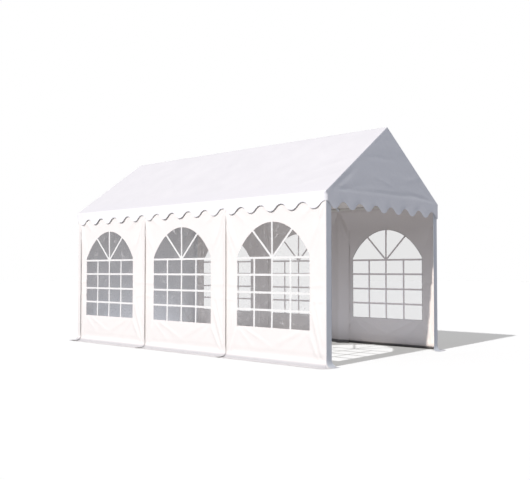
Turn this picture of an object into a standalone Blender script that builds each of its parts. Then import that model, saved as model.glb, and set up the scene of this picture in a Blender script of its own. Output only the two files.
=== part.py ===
"""Marquee tent of 3 m by 6 m: a steel tube frame under a pitched cover, arched windows and one open gable.

The origin lies on the ground under the middle of the tent. The ridge runs along Y, Z is up and the open gable
faces -Y. All sizes are in metres.
"""

import math

import bmesh
import bpy
from mathutils import Matrix, Vector

# Plan and heights
HALF_WIDTH = 1.5
HALF_LENGTH = 3.0
BAY_LENGTH = 2.0
EAVE_HEIGHT = 2.417
RIDGE_HEIGHT = 3.505

# Fabric
SHEET = 0.002
FILM = 0.001
GAP = 0.0003
COVER_PROUD = 0.0125
WALL_TOP = 2.419
PANEL_SLIT = 0.016
CORNER_WRAP = 0.12
LEFT_SEAMS = (-1.052, 0.937)
RIGHT_SEAMS = (-0.94, 1.05)
REAR_SEAM = 2.886

# Ground flap at the foot of the walls
SIDE_REACH = 0.175
END_REACH = 0.117
BEND_RADIUS = 0.104
BEND_STEPS = 6
CORNER_STEPS = 4

# Scalloped edge of the valance
VALANCE_DEPTH = 0.185
SCALLOP_DEPTH = 0.05
END_WAVES = 7.5
SIDE_WAVES = 15
POINTS_PER_WAVE = 8

# Arched windows, an upright rectangle under part of a tall ellipse
WINDOW_HALF_WIDTH = 0.71
WINDOW_FOOT = 0.49
ARCH_TOP = 2.033
ARCH_HALF_WIDTH = 0.894
ARCH_HALF_HEIGHT = 1.239
ARCH_POINTS = 20
FILM_MARGIN = 0.03
CUTTER_DEPTH = 0.1

# Steel frame
TUBE_RADIUS = 0.019
SLEEVE_RADIUS = 0.022
SLEEVE_LENGTH = 0.10
HUB_END = 0.001
TUBE_SIDES = 16
FOOT_SIDE = 0.10
FOOT_THICKNESS = 0.004
PEG_HOLE_RADIUS = 0.007
PEG_HOLE_INSET = 0.035
SHARP_ANGLE = math.radians(40)
WELD_DISTANCE = 1e-5

# Places that follow from the sizes above
COVER_X = HALF_WIDTH + COVER_PROUD
COVER_Y = HALF_LENGTH + COVER_PROUD
PITCH = math.atan2(RIDGE_HEIGHT - EAVE_HEIGHT, COVER_X)
SHEET_DROP = SHEET / math.cos(PITCH)
AXIS_DROP = (SHEET + GAP + SLEEVE_RADIUS) / math.cos(PITCH)
POST_INSET = SHEET + GAP + SLEEVE_RADIUS
CORNER_RADIUS = POST_INSET
AXIS_X = HALF_WIDTH - POST_INSET
END_Y = HALF_LENGTH - POST_INSET
EAVE_AXIS_Z = EAVE_HEIGHT + (COVER_X - AXIS_X) * math.tan(PITCH) - AXIS_DROP
RIDGE_AXIS_Z = RIDGE_HEIGHT - AXIS_DROP
PORTAL_YS = (-END_Y, -BAY_LENGTH / 2, BAY_LENGTH / 2, END_Y)
BAY_CENTRES = (-BAY_LENGTH, 0.0, BAY_LENGTH)
SIDES = {"left": -1, "right": 1}

FACING_X = Matrix(((0, 0, 1, 0), (1, 0, 0, 0), (0, 1, 0, 0), (0, 0, 0, 1)))
FACING_Y = Matrix(((1, 0, 0, 0), (0, 0, -1, 0), (0, 1, 0, 0), (0, 0, 0, 1)))


def clear_scene():
    for obj in list(bpy.data.objects):
        bpy.data.objects.remove(obj)


def new_collection(name):
    collection = bpy.data.collections.new(name)
    bpy.context.scene.collection.children.link(collection)
    return collection


def principled(name, colour, roughness, metallic=0.0, alpha=1.0):
    material = bpy.data.materials.new(name)
    material.use_nodes = True
    shader = material.node_tree.nodes["Principled BSDF"]
    shader.inputs["Base Color"].default_value = (*colour, 1.0)
    shader.inputs["Roughness"].default_value = roughness
    shader.inputs["Metallic"].default_value = metallic
    shader.inputs["Alpha"].default_value = alpha
    return material


def mesh_of(bm, name):
    """Turns the bmesh into a mesh and frees it."""
    mesh = bpy.data.meshes.new(name)
    bm.to_mesh(mesh)
    bm.free()
    return mesh


def add_node(name, mesh, material, collection, location=(0, 0, 0), turn=0.0):
    """Adds one named piece, turned about Z and moved to its place."""
    obj = bpy.data.objects.new(name, mesh)
    obj.location = location
    obj.rotation_euler = (0, 0, turn)
    if not mesh.materials:
        mesh.materials.append(material)
    collection.objects.link(obj)
    return obj


def evaluated_mesh(obj):
    bpy.context.view_layer.update()
    graph = bpy.context.evaluated_depsgraph_get()
    return bpy.data.meshes.new_from_object(obj.evaluated_get(graph))


def add_boolean(obj, other, operation):
    modifier = obj.modifiers.new(operation.title(), "BOOLEAN")
    modifier.operation = operation
    modifier.object = other


def combined(name, base, added=(), cut=()):
    """One mesh from the base mesh, with the added meshes joined to it and the cut meshes taken away."""
    scene = bpy.context.scene.collection
    main = bpy.data.objects.new(name, base)
    scene.objects.link(main)
    helpers = []
    for meshes, operation in ((added, "UNION"), (cut, "DIFFERENCE")):
        for mesh in meshes:
            helper = bpy.data.objects.new(name + "_helper", mesh)
            scene.objects.link(helper)
            add_boolean(main, helper, operation)
            helpers.append(helper)
    result = evaluated_mesh(main)
    result.name = name
    for obj in (main, *helpers):
        bpy.data.objects.remove(obj)
    return result


def bar(name, start, end, radius, facing):
    """A round bar between two points, with a corner of its polygon towards facing."""
    start, end, facing = Vector(start), Vector(end), Vector(facing).normalized()
    along = (end - start).normalized()
    across = along.cross(facing)
    place = Matrix((facing, across, along)).transposed().to_4x4()
    place.translation = (start + end) / 2
    bm = bmesh.new()
    bmesh.ops.create_cone(
        bm,
        cap_ends=True,
        segments=TUBE_SIDES,
        radius1=radius,
        radius2=radius,
        depth=(end - start).length,
        matrix=place,
    )
    mesh = mesh_of(bm, name)
    mesh.shade_smooth()
    mesh.set_sharp_from_angle(angle=SHARP_ANGLE)
    return mesh


def flat_plate(name, outline, thickness, facing):
    """A flat plate from a closed outline, made as a filled 2D curve and then stood up."""
    curve = bpy.data.curves.new(name, "CURVE")
    curve.dimensions = "2D"
    curve.fill_mode = "BOTH"
    curve.extrude = thickness / 2
    spline = curve.splines.new("POLY")
    spline.points.add(len(outline) - 1)
    for point, (across, up) in zip(spline.points, outline):
        point.co = (across, up, 0, 1)
    spline.use_cyclic_u = True
    helper = bpy.data.objects.new(name, curve)
    bpy.context.scene.collection.objects.link(helper)
    mesh = evaluated_mesh(helper)
    bpy.data.objects.remove(helper)
    bm = bmesh.new()
    bm.from_mesh(mesh)
    bpy.data.meshes.remove(mesh)
    bmesh.ops.remove_doubles(bm, verts=bm.verts, dist=WELD_DISTANCE)
    bmesh.ops.transform(bm, matrix=facing, verts=bm.verts)
    bmesh.ops.recalc_face_normals(bm, faces=bm.faces)
    return mesh_of(bm, name)


def half_step(first, second):
    """A direction between two upright ones, so that a polygon's corner lies half a side off the first."""
    angle = math.pi / TUBE_SIDES
    return Vector(first) * math.cos(angle) + Vector(second) * math.sin(angle)


def post_mesh():
    """A post with its foot plate, standing on the origin, with two holes for ground pegs."""
    top = EAVE_AXIS_Z - SLEEVE_LENGTH - GAP
    tube = bar("post", (0, 0, FOOT_THICKNESS / 2), (0, 0, top), TUBE_RADIUS, (1, 0, 0))
    bm = bmesh.new()
    bmesh.ops.create_cube(bm, size=1.0)
    bmesh.ops.scale(bm, vec=(FOOT_SIDE, FOOT_SIDE, FOOT_THICKNESS), verts=bm.verts)
    bmesh.ops.translate(bm, vec=(0, 0, FOOT_THICKNESS / 2), verts=bm.verts)
    plate = mesh_of(bm, "foot_plate")
    holes = []
    for side in (-1, 1):
        x, y = side * PEG_HOLE_INSET, -side * PEG_HOLE_INSET
        ends = (x, y, -FOOT_THICKNESS), (x, y, 2 * FOOT_THICKNESS)
        holes.append(bar("peg_hole", *ends, PEG_HOLE_RADIUS, (1, 0, 0)))
    return combined("post", plate, added=[tube], cut=holes)


def rafter_direction():
    """From the left eave up to the ridge."""
    return Vector((math.cos(PITCH), 0, math.sin(PITCH)))


def rafter_mesh(inward):
    """A left rafter with its welded eave fitting. Inward is the side of the next bay, or 0 in a middle frame.

    The mesh lies in the frame's own plane, with the eave rail's axis at Y = 0.
    """
    eave = Vector((-AXIS_X, 0, EAVE_AXIS_Z))
    ridge = Vector((0, 0, RIDGE_AXIS_Z))
    up_slope = rafter_direction()
    slope_normal = Vector((-math.sin(PITCH), 0, math.cos(PITCH)))
    if inward:
        rail_ends = -inward * HUB_END, inward * SLEEVE_LENGTH
    else:
        rail_ends = -SLEEVE_LENGTH, SLEEVE_LENGTH
    rail_facing = half_step((1, 0, 0), (0, 0, 1))
    rail_sleeve = bar(
        "rail_sleeve",
        eave + Vector((0, rail_ends[0], 0)),
        eave + Vector((0, rail_ends[1], 0)),
        SLEEVE_RADIUS,
        rail_facing,
    )
    post_sleeve = bar("post_sleeve", eave, eave - Vector((0, 0, SLEEVE_LENGTH)), SLEEVE_RADIUS, (1, 0, 0))
    slope_sleeve = bar("slope_sleeve", eave, eave + up_slope * SLEEVE_LENGTH, SLEEVE_RADIUS, slope_normal)
    tube_end = ridge - up_slope * (SLEEVE_LENGTH + GAP)
    tube = bar("tube", eave + up_slope * SLEEVE_LENGTH / 2, tube_end, TUBE_RADIUS, slope_normal)
    added = [post_sleeve, slope_sleeve, tube]
    if inward:
        added.append(bar("bar_sleeve", eave, eave + Vector((SLEEVE_LENGTH, 0, 0)), SLEEVE_RADIUS, (0, 1, 0)))
    return combined("rafter", rail_sleeve, added=added)


def ridge_fitting_mesh(inward):
    """The welded fitting that joins two rafters and the ridge rail, with the rail's axis at Y = 0."""
    ridge = Vector((0, 0, RIDGE_AXIS_Z))
    if inward:
        rail_ends = -inward * HUB_END, inward * SLEEVE_LENGTH
    else:
        rail_ends = -SLEEVE_LENGTH, SLEEVE_LENGTH
    rail_sleeve = bar(
        "rail_sleeve",
        ridge + Vector((0, rail_ends[0], 0)),
        ridge + Vector((0, rail_ends[1], 0)),
        SLEEVE_RADIUS,
        half_step((1, 0, 0), (0, 0, 1)),
    )
    arms = []
    for side in (-1, 1):
        down = Vector((side * math.cos(PITCH), 0, -math.sin(PITCH)))
        normal = Vector((side * math.sin(PITCH), 0, math.cos(PITCH)))
        arms.append(bar("arm", ridge, ridge + down * SLEEVE_LENGTH, SLEEVE_RADIUS, normal))
    return combined("ridge_fitting", rail_sleeve, added=arms)


def inward_of(index):
    """+1 at the front frame, -1 at the rear frame and 0 at the middle frames."""
    if index == 0:
        return 1
    return -1 if index == len(PORTAL_YS) - 1 else 0


def add_frame(collection, steel, fitting_steel):
    post = post_mesh()
    rafters = {inward: rafter_mesh(inward) for inward in (-1, 0, 1)}
    fittings = {inward: ridge_fitting_mesh(inward) for inward in (-1, 0, 1)}
    for index, y in enumerate(PORTAL_YS):
        number = index + 1
        inward = inward_of(index)
        for side, sign in SIDES.items():
            turn = math.pi if sign > 0 else 0.0
            add_node(f"post_{side}_{number}", post, steel, collection, (sign * AXIS_X, y, 0), turn)
            shape = rafters[inward if sign < 0 else -inward]
            add_node(f"rafter_{side}_{number}", shape, steel, collection, (0, y, 0), turn)
        add_node(f"ridge_fitting_{number}", fittings[inward], fitting_steel, collection, (0, y, 0))
    add_rails(collection, steel)


def add_rails(collection, steel):
    """The tubes along the eaves and the ridge, one to a bay, and one across each gable."""
    for index in range(len(PORTAL_YS) - 1):
        start = PORTAL_YS[index] + SLEEVE_LENGTH + GAP
        end = PORTAL_YS[index + 1] - SLEEVE_LENGTH - GAP
        rails = {
            "eave_rail_left": (-AXIS_X, EAVE_AXIS_Z),
            "eave_rail_right": (AXIS_X, EAVE_AXIS_Z),
            "ridge_rail": (0, RIDGE_AXIS_Z),
        }
        for name, (x, z) in rails.items():
            tube = bar(name, (x, start, z), (x, end, z), TUBE_RADIUS, (1, 0, 0))
            add_node(f"{name}_{index + 1}", tube, steel, collection)
    reach = AXIS_X - SLEEVE_LENGTH - GAP
    for end, y in (("front", -END_Y), ("rear", END_Y)):
        tube = bar("gable_bar", (-reach, y, EAVE_AXIS_Z), (reach, y, EAVE_AXIS_Z), TUBE_RADIUS, (0, 1, 0))
        add_node(f"gable_bar_{end}", tube, steel, collection)


def scallop_height(phase):
    """Height of the valance's lower edge. A whole number of waves is a crest."""
    return EAVE_HEIGHT - VALANCE_DEPTH + SCALLOP_DEPTH * math.cos(2 * math.pi * phase)


def scalloped_edge(half, waves, first_phase):
    """Points of the lower edge from -half to +half."""
    count = round(waves * POINTS_PER_WAVE)
    edge = []
    for step in range(count + 1):
        share = step / count
        edge.append((half * (2 * share - 1), scallop_height(first_phase + waves * share)))
    return edge


def add_cover(collection, fabric):
    """The roof cover: two slopes, two side valances and two gables that end in the same scalloped edge."""
    eave_under = EAVE_HEIGHT - SHEET_DROP
    ridge_under = RIDGE_HEIGHT - SHEET_DROP
    for side, sign in SIDES.items():
        section = [
            (sign * GAP / 2, RIDGE_HEIGHT),
            (sign * COVER_X, EAVE_HEIGHT),
            (sign * COVER_X, eave_under),
            (sign * GAP / 2, ridge_under),
        ]
        slope = flat_plate(f"roof_slope_{side}", section, 2 * COVER_Y, FACING_Y)
        add_node(f"roof_slope_{side}", slope, fabric, collection)
        first_phase = END_WAVES if sign > 0 else 0
        outline = scalloped_edge(COVER_Y, SIDE_WAVES, first_phase)
        outline += [(COVER_Y, eave_under - GAP), (-COVER_Y, eave_under - GAP)]
        valance = flat_plate(f"valance_{side}", outline, SHEET, FACING_X)
        x = sign * (COVER_X - SHEET / 2)
        add_node(f"valance_{side}", valance, fabric, collection, (x, 0, 0))
    half = COVER_X - SHEET - GAP
    corner = eave_under - GAP + SHEET * math.tan(PITCH)
    apex = corner + half * math.tan(PITCH)
    for end, sign in (("front", -1), ("rear", 1)):
        outline = scalloped_edge(half, END_WAVES, 0)
        outline += [(half, corner), (0, apex), (-half, corner)]
        gable = flat_plate(f"gable_{end}", outline, SHEET, FACING_Y)
        y = sign * (COVER_Y - SHEET / 2)
        add_node(f"gable_{end}", gable, fabric, collection, (0, y, 0))


def wall_profile():
    """The outer face of a wall from the flap's tip up, as a share of the reach and a height."""
    bend_share = BEND_RADIUS / SIDE_REACH
    profile = [(1.0, SHEET)]
    for step in range(BEND_STEPS + 1):
        angle = math.pi / 2 * (1 - step / BEND_STEPS)
        share = bend_share * (1 - math.cos(angle))
        profile.append((share, SHEET + BEND_RADIUS * (1 - math.sin(angle))))
    profile.append((0.0, WALL_TOP))
    return profile


def plan_stations(corners):
    """Points of a plan path with their outward directions. It runs counterclockwise, seen from above."""
    points = [Vector(corner) for corner in corners]
    outwards = []
    for start, end in zip(points, points[1:]):
        along = (end - start).normalized()
        outwards.append(Vector((along.y, -along.x)))
    stations = [(points[0], outwards[0])]
    for point, before, after in zip(points[1:], outwards, outwards[1:]):
        centre = point - (before + after) * CORNER_RADIUS
        for step in range(CORNER_STEPS + 1):
            angle = math.pi / 2 * step / CORNER_STEPS
            outward = before * math.cos(angle) + after * math.sin(angle)
            stations.append((centre + outward * CORNER_RADIUS, outward))
    stations.append((points[-1], outwards[-1]))
    return stations


def wall_mesh(name, corners):
    """The outer face of a wall panel with its ground flap, swept along the plan path."""
    bm = bmesh.new()
    columns = []
    for point, outward in plan_stations(corners):
        column = []
        for share, height in wall_profile():
            x = point.x + outward.x * SIDE_REACH * share
            y = point.y + outward.y * END_REACH * share
            column.append(bm.verts.new((x, y, height)))
        columns.append(column)
    for first, second in zip(columns, columns[1:]):
        for row in range(len(first) - 1):
            bm.faces.new((first[row], second[row], second[row + 1], first[row + 1]))
    return mesh_of(bm, name)


def arch_outline(margin=0.0):
    """The window's outline, across and up from the middle of its bay, grown by the margin."""
    half = WINDOW_HALF_WIDTH + margin
    wide = ARCH_HALF_WIDTH + margin
    tall = ARCH_HALF_HEIGHT + margin
    centre = ARCH_TOP - ARCH_HALF_HEIGHT
    outline = [(-half, WINDOW_FOOT - margin), (half, WINDOW_FOOT - margin)]
    for step in range(ARCH_POINTS + 1):
        across = half * math.cos(math.pi * step / ARCH_POINTS)
        outline.append((across, centre + tall * math.sqrt(1 - (across / wide) ** 2)))
    return outline


def add_wall(name, corners, fabric, collection):
    wall = add_node(name, wall_mesh(name, corners), fabric, collection)
    solidify = wall.modifiers.new("Solidify", "SOLIDIFY")
    solidify.thickness = SHEET
    solidify.offset = -1
    solidify.use_even_offset = True
    return wall


def add_walls(collection, cutters, fabric, film):
    """Three panels to a side, each with an arched window, and one plain rear wall that wraps both corners."""
    half_slit = PANEL_SLIT / 2
    cutter_mesh = flat_plate("window_cutter", arch_outline(), CUTTER_DEPTH, FACING_X)
    film_mesh = flat_plate("window_film", arch_outline(FILM_MARGIN), FILM, FACING_X)
    film_x = HALF_WIDTH - SHEET - GAP - FILM / 2
    for side, seams in (("left", LEFT_SEAMS), ("right", RIGHT_SEAMS)):
        x = SIDES[side] * HALF_WIDTH
        wrap_x = SIDES[side] * (HALF_WIDTH - CORNER_WRAP)
        paths = [
            [(wrap_x, -HALF_LENGTH), (x, -HALF_LENGTH), (x, seams[0] - half_slit)],
            [(x, seams[0] + half_slit), (x, seams[1] - half_slit)],
            [(x, seams[1] + half_slit), (x, REAR_SEAM - half_slit)],
        ]
        for index, path in enumerate(paths):
            number = index + 1
            if side == "left":
                path.reverse()
            wall = add_wall(f"wall_{side}_{number}", path, fabric, collection)
            cutter = bpy.data.objects.new(f"window_cutter_{side}_{number}", cutter_mesh)
            cutter.location = (x, BAY_CENTRES[index], 0)
            cutter.hide_render = True
            cutter.display_type = "WIRE"
            cutters.objects.link(cutter)
            add_boolean(wall, cutter, "DIFFERENCE")
            place = (SIDES[side] * film_x, BAY_CENTRES[index], 0)
            add_node(f"window_{side}_{number}", film_mesh, film, collection, place)
    rear_path = [
        (HALF_WIDTH, REAR_SEAM + half_slit),
        (HALF_WIDTH, HALF_LENGTH),
        (-HALF_WIDTH, HALF_LENGTH),
        (-HALF_WIDTH, REAR_SEAM + half_slit),
    ]
    add_wall("rear_wall", rear_path, fabric, collection)


def main():
    clear_scene()
    tent = new_collection("marquee_tent")
    cutters = new_collection("cutters")
    steel = principled("white coated steel tube", (0.80, 0.80, 0.79), 0.35)
    fitting_steel = principled("white coated steel fitting", (0.76, 0.76, 0.76), 0.4)
    cover_fabric = principled("white PVC roof cover", (0.92, 0.90, 0.94), 0.5)
    wall_fabric = principled("white PVC wall", (0.93, 0.91, 0.91), 0.5)
    film = principled("clear PVC film", (0.80, 0.82, 0.84), 0.12, alpha=0.3)
    add_frame(tent, steel, fitting_steel)
    add_cover(tent, cover_fabric)
    add_walls(tent, cutters, wall_fabric, film)


main()
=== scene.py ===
"""Looks of a marquee tent of 3 m by 6 m: white coated cloth over a steel tube frame, with arched windows.

All sizes are in metres, in the frame of the CAD part. X runs across, Y along the ridge and Z up. The open
gable faces -Y.
"""

import logging
import math
from collections.abc import Callable, Iterable, Sequence
from dataclasses import dataclass, field
from enum import Enum
from typing import Protocol

import bmesh
import bpy
import numpy as np
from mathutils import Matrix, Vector, noise
from mathutils.geometry import delaunay_2d_cdt

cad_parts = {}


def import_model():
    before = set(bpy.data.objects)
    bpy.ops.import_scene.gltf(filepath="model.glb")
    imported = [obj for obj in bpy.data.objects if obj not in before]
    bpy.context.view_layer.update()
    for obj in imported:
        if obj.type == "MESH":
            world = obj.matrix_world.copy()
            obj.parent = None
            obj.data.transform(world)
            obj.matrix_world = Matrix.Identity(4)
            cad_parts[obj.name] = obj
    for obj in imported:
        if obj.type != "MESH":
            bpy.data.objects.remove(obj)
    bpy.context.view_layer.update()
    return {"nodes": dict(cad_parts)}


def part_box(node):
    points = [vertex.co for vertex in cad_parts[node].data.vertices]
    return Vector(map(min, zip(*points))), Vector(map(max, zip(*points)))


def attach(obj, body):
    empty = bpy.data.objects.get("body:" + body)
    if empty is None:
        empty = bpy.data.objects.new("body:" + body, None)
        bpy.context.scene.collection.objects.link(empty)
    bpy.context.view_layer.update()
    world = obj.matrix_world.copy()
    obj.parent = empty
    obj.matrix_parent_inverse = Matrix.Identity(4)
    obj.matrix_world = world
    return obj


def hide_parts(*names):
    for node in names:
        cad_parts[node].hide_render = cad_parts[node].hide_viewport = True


log = logging.getLogger("marquee_tent")

Point = tuple[float, float]
Triple = tuple[float, float, float]
Face = tuple[int, ...]
Array = np.ndarray
Keeps = Callable[[float, float], bool]
Object = bpy.types.Object
Material = bpy.types.Material
Tree = bpy.types.NodeTree
Socket = bpy.types.NodeSocket
Values = dict[str | int, object]
Links = dict[str | int, Socket]

BODY = "root"
MM = 0.001
WELD = 1e-4
CUT_TOLERANCE = 1e-6
SLIVER = 1e-5
SEAM_FAR = 0.2
COVER_EDGE = 0.006
CLOTH_THICKNESS = 0.9 * MM
FILM_THICKNESS = 0.5 * MM
CREST_ROUNDING = 0.01
# Triangles of a cut join into four-sided faces where they are this flat and this close to a rectangle.
JOIN_FLAT = math.radians(12)
JOIN_SQUARE = math.radians(40)
# Edges of the cover sharper than the first angle are rounded. Faces are shaded smooth up to the second.
ROUNDED_FROM = math.radians(40)
SMOOTH_UP_TO = math.radians(50)


class Side(Enum):
    """The two long sides, with the sign of X on each."""

    LEFT = -1
    RIGHT = 1


class End(Enum):
    """The two gables, with the sign of Y on each."""

    FRONT = -1
    REAR = 1


@dataclass(frozen=True)
class TentSizes:
    """Sizes that the cloth shares with the CAD part, in metres."""

    half_width: float = 1.5
    half_length: float = 3.0
    eave: float = 2.417
    ridge: float = 3.505
    cover_proud: float = 0.0125
    wall_top: float = 2.419
    ground_face: float = 0.002
    corner_radius: float = 0.012
    wrap: float = 0.12
    side_reach: float = 0.175
    end_reach: float = 0.117
    bend_radius: float = 0.088
    valance: float = 0.185
    scallop: float = 0.05
    end_waves: float = 7.5
    side_waves: float = 15.0
    bays: Triple = (-2.0, 0.0, 2.0)
    frames: tuple[float, float, float, float] = (-2.9757, -1.0, 1.0, 2.9757)

    @property
    def cover_x(self) -> float:
        """Half the width of the roof cover."""
        return self.half_width + self.cover_proud

    @property
    def cover_y(self) -> float:
        """Half the length of the roof cover."""
        return self.half_length + self.cover_proud

    @property
    def pitch(self) -> float:
        """The slope's angle above the horizon, in radians."""
        return math.atan2(self.ridge - self.eave, self.cover_x)


def smooth(low: float, high: float, x: Array) -> Array:
    """A soft step from 0 at low to 1 at high.

    Args:
        low: Where the step starts.
        high: Where it ends.
        x: The places to work it out for.

    Returns:
        The step's height at each place.
    """
    t = np.clip((x - low) / (high - low), 0.0, 1.0)
    return t * t * (3.0 - 2.0 * t)


def ripple(u: Array, v: Array, waves: Point, turn: float, seed: float, sharp: bool = False) -> Array:
    """Unevenness of cloth, longer one way than the other.

    Args:
        u: First flat coordinate.
        v: Second flat coordinate.
        waves: Its wavelength along the turned first axis and along the second.
        turn: How far the axes are turned, in degrees.
        seed: Another number gives another pattern.
        sharp: Whether its crests are narrow, like the creases left by folding the cloth away.

    Returns:
        Heights from about -1 to 1.
    """
    c, s = math.cos(math.radians(turn)), math.sin(math.radians(turn))
    a = (c * u + s * v) / waves[0]
    b = (-s * u + c * v) / waves[1]
    soft = np.array([noise.noise((p, q, seed)) for p, q in zip(a.tolist(), b.tolist())])
    return 1.0 - 2.0 * np.sqrt(np.abs(soft) + CREST_ROUNDING) if sharp else soft


@dataclass(frozen=True)
class Wrinkles:
    """A layer of wrinkles all over a cloth."""

    height_mm: float
    waves: Point
    turn: float
    seed: float
    sharp: bool = False

    def lift(self, u: Array, v: Array) -> Array:
        """How far the wrinkles lift the cloth at each point, in metres."""
        return self.height_mm * MM * ripple(u, v, self.waves, self.turn, self.seed, self.sharp)


@dataclass(frozen=True)
class Fold:
    """A soft fold between two points of the cloth, narrow at its start and wider and lower at its end.

    Its crest leans to one side and has a shallow trough along its foot, with a depth and a spread.
    """

    start: Point
    end: Point
    height_mm: float
    widths: Point = (0.03, 0.09)
    bow: float = 0.0
    lean: float = 0.3
    crest: float = 1.5
    trough: Point = (0.35, 0.2)
    fade_in: Point = (-0.04, 0.12)
    fade_out: Point = (0.55, 1.05)

    def lift(self, u: Array, v: Array) -> Array:
        """How far the fold lifts the cloth.

        Args:
            u: First flat coordinate.
            v: Second flat coordinate.

        Returns:
            The lift at each point, in metres.
        """
        line = np.array(self.end) - np.array(self.start)
        length = float(np.hypot(*line))
        line /= length
        along = ((u - self.start[0]) * line[0] + (v - self.start[1]) * line[1]) / length
        across = (v - self.start[1]) * line[0] - (u - self.start[0]) * line[1]
        inside = np.clip(along, 0.0, 1.0)
        across = across - 4.0 * self.bow * inside * (1.0 - inside)
        width = self.widths[0] + (self.widths[1] - self.widths[0]) * inside
        q = across / width
        q = q / (1.0 + self.lean * np.tanh(q))
        depth, spread = self.trough
        crest = np.exp(-np.abs(q) ** self.crest) * (1.0 - depth * q * q * np.exp(-spread * q * q))
        fade = smooth(*self.fade_in, along) * (1.0 - smooth(*self.fade_out, along))
        return self.height_mm * MM * crest * fade


def lifts(reliefs: Iterable[Fold | Wrinkles], u: Array, v: Array) -> Array:
    """The lift of several folds or layers of wrinkles together.

    Args:
        reliefs: The folds or layers.
        u: First flat coordinate.
        v: Second flat coordinate.

    Returns:
        The lift at each point, in metres.
    """
    total = np.zeros_like(u)
    for relief in reliefs:
        total += relief.lift(u, v)
    return total


def steps(start: float, end: float, size: float) -> list[float]:
    """Even places from start to end, both included, about size apart."""
    count = max(1, round(abs(end - start) / size))
    return [start + (end - start) * i / count for i in range(count + 1)]


def graded(start: float, end: float, size: float, fine: float, reach: float) -> list[float]:
    """Places from start to end that stand closer together near both ends.

    Args:
        start: The first place.
        end: The last place.
        size: The distance between them in the middle.
        fine: The distance near the ends.
        reach: How far from an end the fine ones go.

    Returns:
        The places in order.
    """
    sign = 1.0 if end > start else -1.0
    low, high = start + sign * reach, end - sign * reach
    return steps(start, low, fine)[:-1] + steps(low, high, size) + steps(high, end, fine)[1:]


def along_line(line: Sequence[Point], size: float) -> list[Point]:
    """Points along a bent line, no further than about size apart, with its own points kept.

    Args:
        line: The line's own points.
        size: About how far apart the points lie.

    Returns:
        The points in order.
    """
    points = [line[0]]
    for (x, y), (end_x, end_y) in zip(line, line[1:]):
        count = max(1, round(math.dist((x, y), (end_x, end_y)) / size))
        points += [(x + (end_x - x) * i / count, y + (end_y - y) * i / count) for i in range(1, count + 1)]
    return points


@dataclass
class Cut:
    """A flat cut of cloth, as points in flat coordinates and faces between them."""

    points: Array
    faces: list[Face]

    def area(self) -> float:
        """Adds up its faces.

        Returns:
            Its area in square metres.
        """
        total = 0.0
        for face in self.faces:
            p = self.points[list(face)]
            q = np.roll(p, -1, axis=0)
            total += 0.5 * float(np.sum(p[:, 0] * q[:, 1] - q[:, 0] * p[:, 1]))
        return abs(total)


def grid_faces(rows: int, columns: int, turned: bool = False) -> list[Face]:
    """Four-sided faces between the points of a grid.

    Args:
        rows: The number of its rows.
        columns: The number of points in a row. They are numbered on from row to row.
        turned: Whether the faces turn the other way.

    Returns:
        The faces, row by row.
    """
    ring = (0, 1, columns + 1, columns) if turned else (0, columns, columns + 1, 1)
    firsts = [row * columns + column for row in range(rows - 1) for column in range(columns - 1)]
    return [tuple(first + step for step in ring) for first in firsts]


def cut_cloth(loops: Sequence[Sequence[Point]], fill: Iterable[Point], keeps: Keeps) -> Cut:
    """Cuts cloth along closed lines and fills it with even faces.

    Args:
        loops: Closed lines that edges have to follow. They may cross.
        fill: Points inside the cloth.
        keeps: Says of a point whether it is cloth.

    Returns:
        The cut.
    """
    points: list[Point] = []
    edges: list[tuple[int, int]] = []
    for loop in loops:
        first = len(points)
        points += loop
        edges += [(first + i, first + (i + 1) % len(loop)) for i in range(len(loop))]
    points += fill
    found = delaunay_2d_cdt([Vector(p) for p in points], edges, [], 0, CUT_TOLERANCE, False)
    flat = np.array([tuple(p) for p in found[0]])
    faces = []
    for face in found[2]:
        middle = flat[list(face)].mean(axis=0)
        if keeps(float(middle[0]), float(middle[1])):
            faces.append(tuple(face))
    return Cut(flat, faces)


def new_object(name: str, data: bpy.types.ID) -> Object:
    """A new object that holds this data, linked to the scene.

    Args:
        name: Its name.
        data: A mesh, a lamp or a camera.

    Returns:
        The object.
    """
    obj = bpy.data.objects.new(name, data)
    bpy.context.scene.collection.objects.link(obj)
    return obj


def activate(obj: Object) -> None:
    """Makes one object the only selected one and the active one.

    Args:
        obj: The object.
    """
    bpy.ops.object.select_all(action="DESELECT")
    obj.select_set(True)
    bpy.context.view_layer.objects.active = obj


def apply_modifier(obj: Object, kind: str, **settings: object) -> None:
    """Adds a modifier with these settings and applies it.

    Args:
        obj: The object.
        kind: The modifier's type.
        settings: Its settings.
    """
    modifier = obj.modifiers.new(kind.title(), kind)
    for name, value in settings.items():
        setattr(modifier, name, value)
    activate(obj)
    bpy.ops.object.modifier_apply(modifier=modifier.name)


class Finish(Protocol):
    """Anything that makes a material."""

    def material(self) -> Material:
        """The finished material."""


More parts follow.
